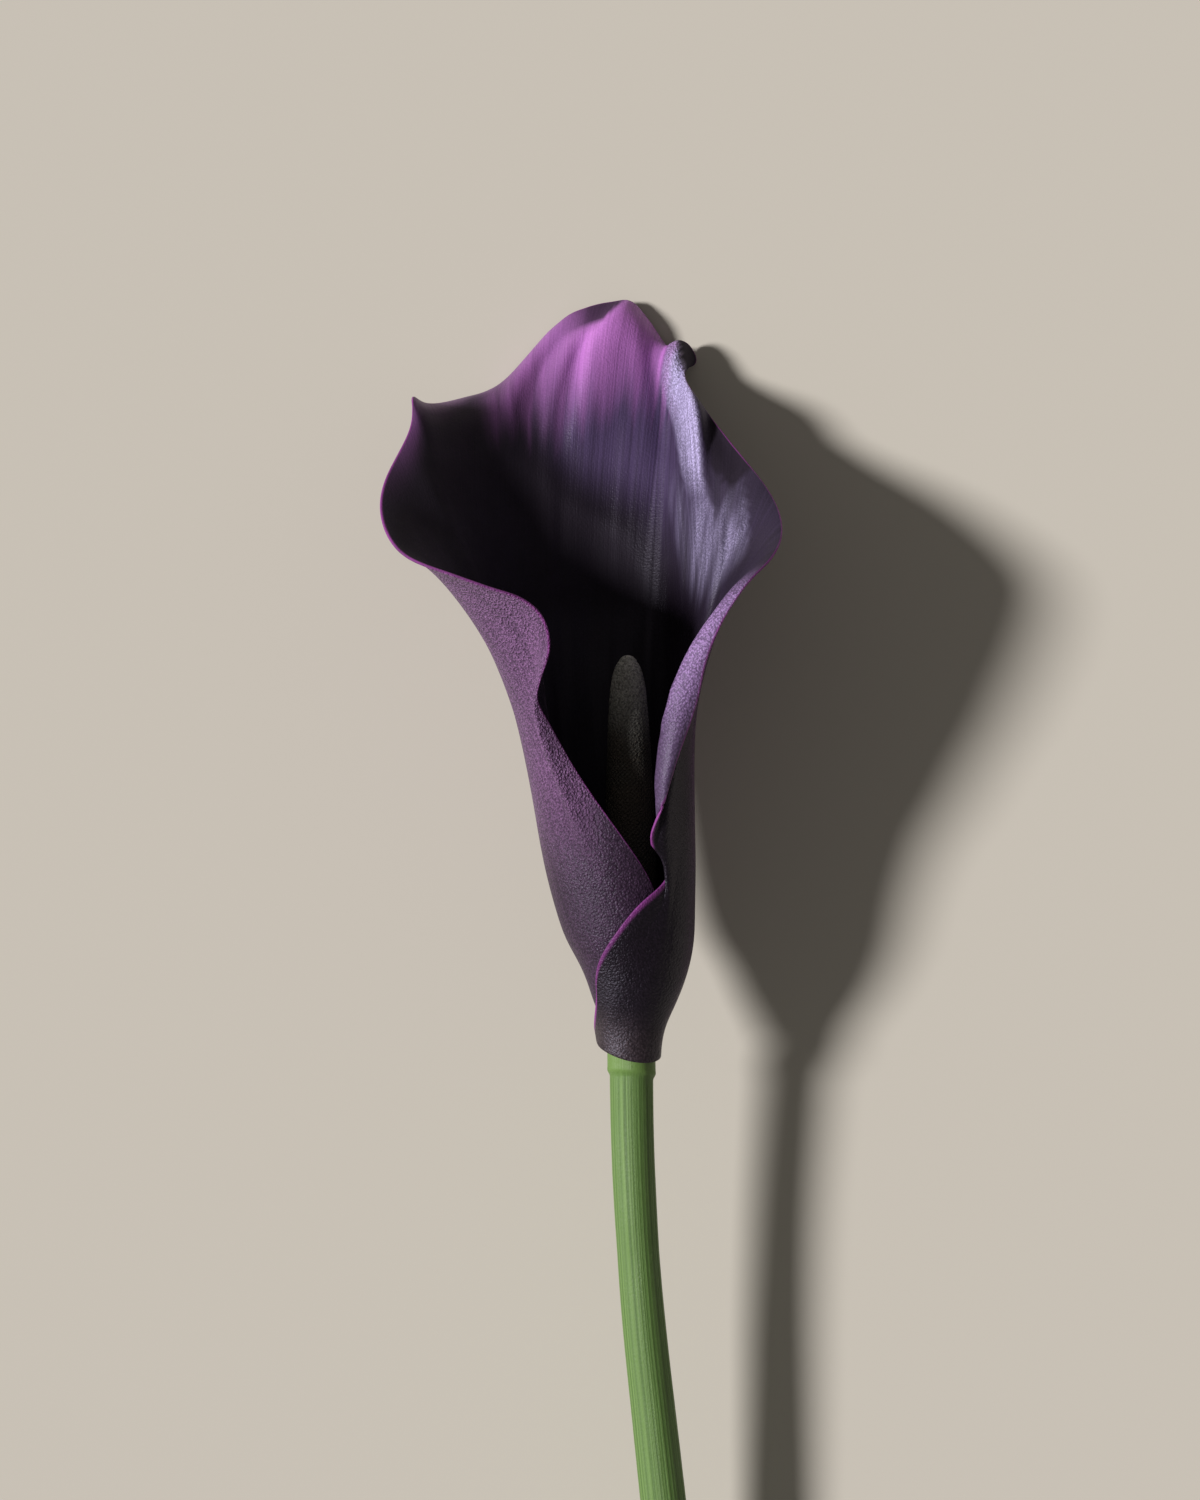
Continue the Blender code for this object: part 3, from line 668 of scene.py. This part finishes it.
def withEnds(grid):
    # the grid as one row of points, with its first and last values again for the two end points
    return np.concatenate([grid.reshape(-1, *grid.shape[2:]), grid[0, :1], grid[0, -1:]])


def closedTube(name, points, firstEnd, lastEnd, values, uv):
    # a grid that closes round, with a fan of triangles to a point at both ends
    columns, rows = points.shape[:2]
    index = np.arange(columns * rows).reshape(columns, rows)
    after = np.roll(index, -1, axis=0)
    end = np.full(columns, index.size)
    low = np.stack([after[:, 0], index[:, 0], end], axis=1)
    high = np.stack([index[:, -1], after[:, -1], end + 1], axis=1)
    flat = np.concatenate([points.reshape(-1, 3), [firstEnd, lastEnd]])
    values = {key: withEnds(value) for key, value in values.items()}
    return makePiece(name, flat, gridFaces(index, closed=True), np.concatenate([low, high]), values,
                     withEnds(uv))


def buildSpadix():
    height, radius = np.array(spadix["profile"]).T
    share = np.linspace(0, 1, spadix["rows"])
    # rows crowd toward the rounded tip as 1 - (1 - t) to the power of the crowding
    rise = 1 - (1 - share) ** spadix["crowding"]
    up = spadix["foot"] + (height[-1] - 0.02 - spadix["foot"]) * rise
    radii = splineThrough(height, radius[:, None], np.maximum(up, 0))[:, 0]
    # the tip is at least as full as a quarter of an ellipse
    tip = np.clip((height[-1] - up) / spadix["tipLength"], 0, 1)
    dome = spadix["tipRadius"] * np.sqrt(np.maximum(1 - (1 - tip) ** 2, 0)) * (tip < 1)
    radii = np.maximum(np.maximum(radii, dome), 0.05)
    turn = turnsAround(spadix["columns"])[:, None]
    # florets: product of two crossed waves, so that bumps sit on a slanted lattice
    count = spadix["floretsAround"]
    pitch = 2 * math.pi * spadix["pitchRadius"] / count
    steps = np.diff(up) * spadix["pitchRadius"] / np.maximum(radii[1:], 1.4)
    climbed = np.cumsum(np.concatenate([[0], steps]))[None, :]
    slant = climbed / (pitch * 0.88) * math.pi
    wobble = 0.5 * softNoise(turn * 5 + 0 * slant, slant * 0.35, 11)
    first = np.cos(count * turn / 2 + slant + wobble * 0.5)
    second = np.cos(count * turn / 2 - slant + wobble * 0.4)
    florets = 1 - np.sqrt(np.abs(first * second) + 0.002)
    florets = florets * smoothStep(0, 6, up)[None, :] * smoothStep(0.3, 1.2, radii)[None, :]
    uneven = softNoise(np.cos(turn) * 2.2 + 0 * slant, np.sin(turn) * 2.2 + climbed * 0.35, 5)
    full = radii[None, :] + spadix["floretHeight"] * (florets - 0.5) + spadix["unevenness"] * uneven * 0.5
    back = -spadix["setBack"] * smoothStep(4, 30, up)
    centres = np.stack([readTable(spadix["axis"], up), up, back], axis=1)
    points = tubePoints(centres, np.maximum(full, 0.03), turn)[0]
    uv = np.stack(np.broadcast_arrays(turn / (2 * math.pi), up[None, :] / 100), axis=-1)
    values = {"floret": florets, "climb": np.broadcast_to(up[None, :], full.shape)}
    start = centres[0] - np.array((0, 0.2, 0))
    end = centres[-1] + np.array((0, 0.02, 0))
    return closedTube("spadix_florets", points, start, end, values, uv)


stem = {
    "columns": 128,
    "rows": 420,
    "length": 168.0,
    "topX": -0.38,
    "bendLength": 48.0,
    "lean": 0.11,
    "sag": 0.00006,
    "head": 2.6,                # mm that it reaches up into the bloom
    "radii": ((-3, 2.4), (-1.4, 3.1), (0, 3.24), (30, 3.14), (67, 3.42), (168, 4.2)),
    "collarHeight": 0.36,
    "collarSlope": (0.35, 0.5),
    "ribs": 34,
    "ribHeight": 0.035,
    "cutPlane": (0.45, -1.0, 0.2),
    "cutReach": 14.0,           # mm over which the last rows lean onto the cut
    # the rings of the cut face: share of its radius, and mm that each stands out of the plane
    "cutFace": ((0.97, 0.05), (0.92, 0.02), (0.84, -0.06), (0.7, -0.16), (0.55, -0.22), (0.4, -0.26),
                (0.26, -0.28), (0.13, -0.3)),
}


def stemCentres(down):
    # bends as the square of the distance, then runs straight; bows back by another square
    bent = np.clip(down, 0, stem["bendLength"])
    sideways = bent ** 2 / (2 * stem["bendLength"]) + np.maximum(down - stem["bendLength"], 0)
    x = stem["topX"] + stem["lean"] * sideways
    return np.stack([x, -down, -stem["sag"] * down ** 2], axis=-1)


def cutStem(points, endTangent, down):
    # the last rows are slid along the stem onto the slanted cut, then rings run in over the cut face
    plane = np.array(stem["cutPlane"])
    plane = plane / np.linalg.norm(plane)
    past = (points[:, -1] - stemCentres(np.array(stem["length"]))) @ plane
    slide = past / (endTangent @ plane)
    reach = smoothStep(stem["length"] - stem["cutReach"], stem["length"], down)
    points = points - (slide[:, None] * reach)[..., None] * endTangent
    rim = points[:, -1]
    middle = rim.mean(axis=0)
    rings, dish = np.array(stem["cutFace"]).T
    face = middle + (rim - middle)[:, None] * rings[None, :, None] + plane * dish[None, :, None]
    grain = softNoise(face[..., 0] * 3.1, face[..., 2] * 3.1, 21) * 0.05
    face = face + plane * grain[..., None]
    return np.concatenate([points, face], axis=1), middle + plane * dish[-1], rings


def buildStem():
    turn = turnsAround(stem["columns"])[:, None]
    share = np.linspace(0, 1, stem["rows"])
    down = (-stem["head"] + (stem["length"] + stem["head"]) * share ** 1.15)[None, :]
    # the collar is a soft ring that follows the slanted foot of the bloom
    slant = down + stem["collarSlope"][0] * np.sin(turn) + stem["collarSlope"][1] * np.cos(turn)
    collar = smoothStep(3.9, 2.9, slant) * smoothStep(-0.6, 0.4, slant)
    radii = readTable(stem["radii"], down) + stem["collarHeight"] * collar * smoothStep(0, 1.2, slant + 0.6)
    radii = radii + 0.05 * hill(slant - 3.1, 0.5)
    # ribs of uneven width and height run the whole way, and drift a little round the stem
    drift = 0.16 * np.sin(down / 31.0 + 1.2) + 0.05 * np.sin(down / 9.0)
    warp = turn + 0.09 * np.sin(3 * turn + 0.7) + 0.05 * np.sin(7 * turn) + 0.012 * drift
    wave = np.cos(stem["ribs"] * warp) + 0.45 * np.cos((stem["ribs"] // 2 + 3) * warp + 1.1)
    strength = 0.75 + 0.25 * np.sin(5 * turn + down / 26.0)
    ribs = wave * strength * smoothStep(2.5, 6, slant)
    swell = softNoise(np.cos(turn) * 0.8 + down * 0.03, np.sin(turn) * 0.8 + down * 0.02, 8)
    full = radii + stem["ribHeight"] * ribs + 0.02 * swell + 0.012 * softNoise(turn * 3, down * 0.5, 3)
    centres = stemCentres(down[0])
    points, endTangent = tubePoints(centres, full, turn)
    points, lastEnd, rings = cutStem(points, endTangent, down)
    flat = np.zeros((stem["columns"], len(rings)))
    values = {
        "rib": np.concatenate([ribs, flat], axis=1),
        "collar": np.concatenate([collar, flat], axis=1),
        "cut": np.concatenate([0 * ribs, flat + 1 - rings * 0.9], axis=1),
        "climb": np.concatenate([down + 0 * ribs, flat + stem["length"]], axis=1),
    }
    uv = np.stack(np.broadcast_arrays(turn / (2 * math.pi), down / 100), axis=-1)
    uv = np.concatenate([uv, np.repeat(uv[:, -1:], len(rings), axis=1)], axis=1)
    return closedTube("stem_ribbed", points, centres[0] + (0, 0.3, 0), lastEnd, values, uv)


def feed(tree, socket, value):
    # a link, or a plain value, which gets its fourth number where the socket takes a colour
    if isinstance(value, bpy.types.NodeSocket):
        tree.links.new(value, socket)
    else:
        socket.default_value = (*value, 1) if socket.type == "RGBA" else value


def fill(tree, node, **settings):
    # a setting goes to the node's socket of that name, or else it is a property of the node
    for key, value in settings.items():
        socket = node.inputs.get(key.replace("_", " "))
        if socket is None:
            setattr(node, key, value)
        else:
            feed(tree, socket, value)
    return node


def addNode(tree, kind, **settings):
    return fill(tree, tree.nodes.new(kind), **settings)


def newMaterial(name):
    material = bpy.data.materials.new(name)
    material.use_nodes = True
    return material, material.node_tree, material.node_tree.nodes["Principled BSDF"]


def attributesOf(tree, *names):
    return [addNode(tree, "ShaderNodeAttribute", attribute_name=name).outputs["Fac"] for name in names]


def mathOf(tree, operation, *given):
    node = addNode(tree, "ShaderNodeMath", operation=operation)
    for socket, value in zip(node.inputs, given):
        feed(tree, socket, value)
    return node.outputs[0]


def times(tree, first, second):
    return mathOf(tree, "MULTIPLY", first, second)


def rangeOf(tree, value, low, high, toLow=0.0, toHigh=1.0, smooth=True):
    return addNode(tree, "ShaderNodeMapRange", interpolation_type="SMOOTHSTEP" if smooth else "LINEAR",
                   Value=value, From_Min=low, From_Max=high, To_Min=toLow, To_Max=toHigh).outputs["Result"]


def mixColour(tree, share, first, second):
    node = addNode(tree, "ShaderNodeMix", data_type="RGBA")
    colours = [socket for socket in node.inputs if socket.type == "RGBA"]
    for socket, value in zip((node.inputs[0], *colours), (share, first, second)):
        feed(tree, socket, value)
    return [socket for socket in node.outputs if socket.type == "RGBA"][0]


def layersOf(tree, colour, *layers):
    # every layer is a share and the colour that it lays over the ones before
    for share, over in layers:
        colour = mixColour(tree, share, colour, over)
    return colour


def makeGroup(name, inputs, outputs):
    group = bpy.data.node_groups.new(name, "ShaderNodeTree")
    for socket, value in inputs.items():
        made = group.interface.new_socket(socket, in_out="INPUT", socket_type="NodeSocketFloat")
        made.default_value = value
    for socket in outputs:
        group.interface.new_socket(socket, in_out="OUTPUT", socket_type="NodeSocketFloat")
    return group, group.nodes.new("NodeGroupInput").outputs, group.nodes.new("NodeGroupOutput")


def skinGrainGroup():
    # fine cells of a living skin: a small noise with a faint larger unevenness
    group, given, out = makeGroup("skinGrain", {"Cells per mm": 3.0}, ("Height", "Patches"))
    place = addNode(group, "ShaderNodeTexCoord").outputs["Object"]
    scale = times(group, given["Cells per mm"], 1000.0)
    fine = addNode(group, "ShaderNodeTexNoise", Detail=2, Roughness=0.6, Vector=place, Scale=scale)
    cells = addNode(group, "ShaderNodeTexVoronoi", feature="F1", Randomness=1, Vector=place, Scale=scale)
    patches = addNode(group, "ShaderNodeTexNoise", Scale=70, Detail=3, Roughness=0.55, Vector=place)
    height = mathOf(group, "ADD", fine.outputs["Fac"], times(group, cells.outputs["Distance"], -0.55))
    fill(group, out, Height=height, Patches=patches.outputs["Fac"])
    return group


def growthStreakGroup():
    # long streaks that follow a piece's own growth lines: noise stretched along them
    group, given, out = makeGroup("growthStreaks", {"Across": 40.0, "Along": 3.0}, ("Streaks", "Lines"))
    uv = addNode(group, "ShaderNodeUVMap", uv_map="grow").outputs["UV"]
    parts = addNode(group, "ShaderNodeSeparateXYZ", Vector=uv).outputs
    across = times(group, parts["X"], given["Across"])
    along = times(group, parts["Y"], given["Along"])
    joined = addNode(group, "ShaderNodeCombineXYZ", X=across, Y=along).outputs[0]
    broad = addNode(group, "ShaderNodeTexNoise", Scale=1, Detail=3, Roughness=0.5, Vector=joined)
    finer = addNode(group, "ShaderNodeVectorMath", operation="MULTIPLY", Vector=joined)
    finer.inputs[1].default_value = (4.3, 1.4, 1.0)
    lines = addNode(group, "ShaderNodeTexNoise", Scale=1, Detail=2, Roughness=0.6,
                    Vector=finer.outputs[0])
    fill(group, out, Streaks=broad.outputs["Fac"], Lines=lines.outputs["Fac"])
    return group


def placeGroup(tree, group, **given):
    return addNode(tree, "ShaderNodeGroup", node_tree=group, **given).outputs


def bumpOf(tree, height, strength, distance, **before):
    return addNode(tree, "ShaderNodeBump", Strength=strength, Distance=distance, Height=height,
                   **before).outputs["Normal"]


spatheLook = {
    "throat": (0.009, 0.006, 0.011),
    # slate of the back, laid only where the back is lit, so that its edge is a painted shadow edge
    "slateWhereLit": (0.082, 0.054, 0.136),
    "orchid": (0.50, 0.18, 0.58),
    # painted sheen: a pale bluish colour where the fold and the lobe catch the light
    "paintedSheen": (0.47, 0.41, 0.70),
    # painted shade in the pocket, behind the fold, at the turned top, in the upper left corner and on the
    # unlit throat
    "shade": (0.010, 0.006, 0.011),
    # paler lining of the rolled lip, partly painted light
    "lip": (0.27, 0.165, 0.37),
    "outer": (0.214, 0.104, 0.240),
    "outerDark": (0.008, 0.005, 0.009),
    "rim": (0.26, 0.05, 0.27),
    "foot": (0.035, 0.025, 0.030),
    "cellsPerMm": 2.9,
    "rimBand": (0.50, 0.12),    # mm from the margin where the rim's colour starts and is full
    "speck": (-0.34, 0.62),    # how much the grain darkens and lightens the skin
    "liningGrain": 0.12,    # the grain's share on the lining
    "sheenGrain": 0.75,
    "roughness": (0.36, 0.50),
    "shadeRoughness": 0.45,
    "shader": {"Specular IOR Level": 0.34, "Specular Tint": (0.82, 0.78, 1.0), "Sheen Weight": 0.05,
               "Sheen Roughness": 0.4, "Sheen Tint": (0.75, 0.55, 0.95)},
    "lineBump": 0.0002,    # m, as is the next
    "grainBump": 0.00065,
}


def spatheMaterial(skin, streaks):
    look = spatheLook
    material, tree, shader = newMaterial("aubergine_petal_skin")
    grain = placeGroup(tree, skin, Cells_per_mm=look["cellsPerMm"])
    vein = placeGroup(tree, streaks, Across=46, Along=2.2)
    edge, climbed, inside, dark, slateWhereLit, paintedSheen, blush, shade, lip = attributesOf(
        tree, "edge", "climb", "inside", "dark", "slateWhereLit", "paintedSheen", "blush", "shade", "lip")
    # inside: black throat, slate middle that stops at a painted shadow edge, painted sheen on the fold and
    # lobe, orchid toward the tip, then painted shade
    lit = times(tree, slateWhereLit, rangeOf(tree, vein["Streaks"], 0.3, 0.7, 0.55, 1))
    sheenShare = times(tree, paintedSheen, rangeOf(tree, vein["Lines"], 0.3, 0.7, 0.72, 1))
    lining = layersOf(tree, look["throat"], (lit, look["slateWhereLit"]), (sheenShare, look["paintedSheen"]), (lip, look["lip"]),
                      (blush, look["orchid"]), (times(tree, shade, 0.93), look["shade"]))
    # outside: purple on the left flap, nearly black on the right one and at the foot, the right one's
    # darkness being painted shade
    streaked = rangeOf(tree, vein["Streaks"], 0.4, 0.7, 0, 0.25)
    coat = layersOf(tree, look["outer"], (dark, look["outerDark"]), (streaked, look["outerDark"]),
                    (rangeOf(tree, climbed, 9, 1), look["foot"]))
    colour = mixColour(tree, inside, coat, lining)
    # the grain is strong on the outside and the lip, less so on the painted sheen of the fold, faint on the
    # lining
    sheenAndLip = mathOf(tree, "MAXIMUM", paintedSheen, lip)
    grained = mathOf(tree, "MAXIMUM", sheenAndLip, mathOf(tree, "SUBTRACT", 1.0, inside))
    grained = times(tree, rangeOf(tree, grained, 0, 0.6, look["liningGrain"], 1),
                    rangeOf(tree, paintedSheen, 0.2, 0.8, 1, look["sheenGrain"]))
    specks = rangeOf(tree, grain["Height"], 0.1, 0.45, *look["speck"], smooth=False)
    specks = mathOf(tree, "ADD", times(tree, specks, grained), 1.0)
    lined = times(tree, rangeOf(tree, vein["Lines"], 0.3, 0.7, 0.86, 1.12), specks)
    skinColour = addNode(tree, "ShaderNodeVectorMath", operation="SCALE", Vector=colour, Scale=lined)
    # the margin's thin coloured rim, paler in places
    rim = times(tree, rangeOf(tree, edge, *look["rimBand"]),
                rangeOf(tree, grain["Patches"], 0.35, 0.65, 0.55, 1))
    rimmed = mixColour(tree, rim, skinColour.outputs[0], look["rim"])
    dull = times(tree, times(tree, shade, inside), look["shadeRoughness"])
    waxy = rangeOf(tree, grain["Patches"], 0.3, 0.7, *look["roughness"])
    roughness = mathOf(tree, "ADD", waxy, dull)
    lineHeight = times(tree, vein["Lines"], rangeOf(tree, inside, 0, 1, 0.25, 1))
    rough = rangeOf(tree, dark, 0, 1, 1, 0.2)
    grainHeight = times(tree, times(tree, grain["Height"], rough), grained)
    lines = bumpOf(tree, lineHeight, 0.25, look["lineBump"])
    normal = bumpOf(tree, grainHeight, 1, look["grainBump"], Normal=lines)
    fill(tree, shader, Base_Color=rimmed, Roughness=roughness, Normal=normal, **look["shader"])
    return material


spadixLook = {
    "valley": (0.030, 0.028, 0.025),
    "floret": (0.105, 0.098, 0.088),
    "tip": (0.66, 0.65, 0.63),
    "tipRise": (44, 59),    # mm up the spadix over which it pales
    "mottle": (0.075, 0.055, 0.045),
    "speck": (0.12, 0.095, 0.07),
}


def spadixMaterial(skin):
    look = spadixLook
    material, tree, shader = newMaterial("dark_spadix_florets")
    grain = placeGroup(tree, skin, Cells_per_mm=2.6)
    floret, climbed = attributesOf(tree, "floret", "climb")
    raised = rangeOf(tree, floret, 0.2, 0.8)
    paled = times(tree, rangeOf(tree, climbed, *look["tipRise"]),
                  rangeOf(tree, grain["Height"], 0, 0.4, 0.35, 1))
    patches = rangeOf(tree, grain["Patches"], 0.45, 0.62, 0, 0.5)
    specks = rangeOf(tree, grain["Height"], 0.3, 0.42, 0, 0.5)
    colour = layersOf(tree, look["valley"], (raised, look["floret"]), (paled, look["tip"]),
                      (patches, look["mottle"]), (specks, look["speck"]))
    fill(tree, shader, Base_Color=colour, Roughness=0.72, Specular_IOR_Level=0.35,
         Normal=bumpOf(tree, grain["Height"], 1, 0.0004))
    return material


stemLook = {
    "green": (0.162, 0.280, 0.078),
    "deep": (0.074, 0.150, 0.033),
    "collar": (0.145, 0.255, 0.060),
    "cut": (0.52, 0.58, 0.33),
    "pith": (0.62, 0.66, 0.45),
}


def stemMaterial(skin, streaks):
    look = stemLook
    material, tree, shader = newMaterial("fresh_green_stem")
    grain = placeGroup(tree, skin, Cells_per_mm=2.2)
    lines = placeGroup(tree, streaks, Across=60, Along=1.6)
    rib, collar, cut, climbed = attributesOf(tree, "rib", "collar", "cut", "climb")
    ridge = rangeOf(tree, rib, -1.2, 1.2)
    streaky = rangeOf(tree, lines["Streaks"], 0.35, 0.7, 0, 0.35)
    paler = rangeOf(tree, climbed, 120, 166, 0, 0.25)
    flesh = mixColour(tree, rangeOf(tree, grain["Height"], 0.1, 0.45), look["cut"], look["pith"])
    colour = layersOf(tree, look["deep"], (ridge, look["green"]), (streaky, look["deep"]),
                      (times(tree, collar, 0.7), look["collar"]), (paler, look["cut"]),
                      (rangeOf(tree, cut, 0.02, 0.16), flesh))
    rough = rangeOf(tree, grain["Patches"], 0.3, 0.7, 0.42, 0.55)
    ribbed = bumpOf(tree, lines["Lines"], 0.4, 0.00025)
    fill(tree, shader, Base_Color=colour, Roughness=rough, Specular_IOR_Level=0.4,
         Normal=bumpOf(tree, grain["Height"], 0.3, 0.0001, Normal=ribbed))
    return material


def floorMaterial():
    material, tree, shader = newMaterial("pale_floor")
    place = addNode(tree, "ShaderNodeTexCoord").outputs["Object"]
    noise = addNode(tree, "ShaderNodeTexNoise", Scale=1.5, Detail=2, Vector=place).outputs["Fac"]
    fill(tree, shader, Base_Color=mixColour(tree, noise, (0.60, 0.565, 0.515), (0.62, 0.585, 0.532)),
         Roughness=0.9, Specular_IOR_Level=0.1)
    return material


skinGrain = skinGrainGroup()
growthStreaks = growthStreakGroup()

petal = buildSpathe()
petal.data.materials.append(spatheMaterial(skinGrain, growthStreaks))
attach(petal, "root")
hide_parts("spathe")

spike = buildSpadix()
spike.data.materials.append(spadixMaterial(skinGrain))
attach(spike, "root")
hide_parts("spadix")

stalk = buildStem()
stalk.data.materials.append(stemMaterial(skinGrain, growthStreaks))
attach(stalk, "root")
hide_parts("stem")
print("flower built")

studio = {
    "floorRadius": 60.0,    # m
    "floorCorners": 96,
    "towardKey": (-0.78, 0.045, 0.615),
    "keyAngle": math.radians(10.5),
    "keyStrength": 4.1,
    "keyColour": (1.0, 0.975, 0.94),
    "worldColour": (0.60, 0.57, 0.52),
    "worldStrength": 0.22,
    "backdropStrength": 0.93,
    "lens": 100.0,
    "sensor": 36.0,
}


def buildFloor():
    turn = turnsAround(studio["floorCorners"])
    points = np.stack([np.cos(turn), np.sin(turn), 0 * turn], axis=1) * studio["floorRadius"]
    mesh = bpy.data.meshes.new("floor")
    mesh.from_pydata(points.tolist(), [], [list(range(len(turn)))])
    mesh.materials.append(floorMaterial())
    return placeObject("floor", mesh)


def buildLights():
    toward = (laidTurn @ Vector(studio["towardKey"])).normalized()
    light = bpy.data.lights.new("key", "SUN")
    light.angle = studio["keyAngle"]
    light.energy = studio["keyStrength"]
    light.color = studio["keyColour"]
    item = placeObject("key", light)
    item.location = toward * 2.0
    item.rotation_euler = toward.to_track_quat("Z", "Y").to_euler()


def buildWorld():
    # the backdrop is seen at its own brightness, and lights the flower only faintly
    world = bpy.data.worlds.new("studio")
    bpy.context.scene.world = world
    world.use_nodes = True
    tree = world.node_tree
    path = addNode(tree, "ShaderNodeLightPath")
    seen = mathOf(tree, "MULTIPLY_ADD", path.outputs["Is Camera Ray"],
                  studio["backdropStrength"] - studio["worldStrength"], studio["worldStrength"])
    fill(tree, tree.nodes["Background"], Color=studio["worldColour"], Strength=seen)


def buildCamera():
    camera = bpy.data.cameras.new("camera")
    camera.lens = studio["lens"]
    camera.sensor_width = studio["sensor"]
    camera.sensor_fit = "AUTO"
    camera.clip_start = 0.01
    camera.clip_end = 200.0
    item = placeObject("camera", camera)
    spot = layDown @ Vector((*spathe["viewCentre"], spathe["viewDistance"]))
    item.matrix_world = Matrix.Translation(spot) @ laidTurn.to_4x4()
    bpy.context.scene.camera = item


buildFloor()
buildLights()
buildWorld()
buildCamera()
bpy.context.scene.view_settings.view_transform = "Standard"
bpy.context.scene.view_settings.look = "None"
print("studio built")

bpy.context.view_layer.update()
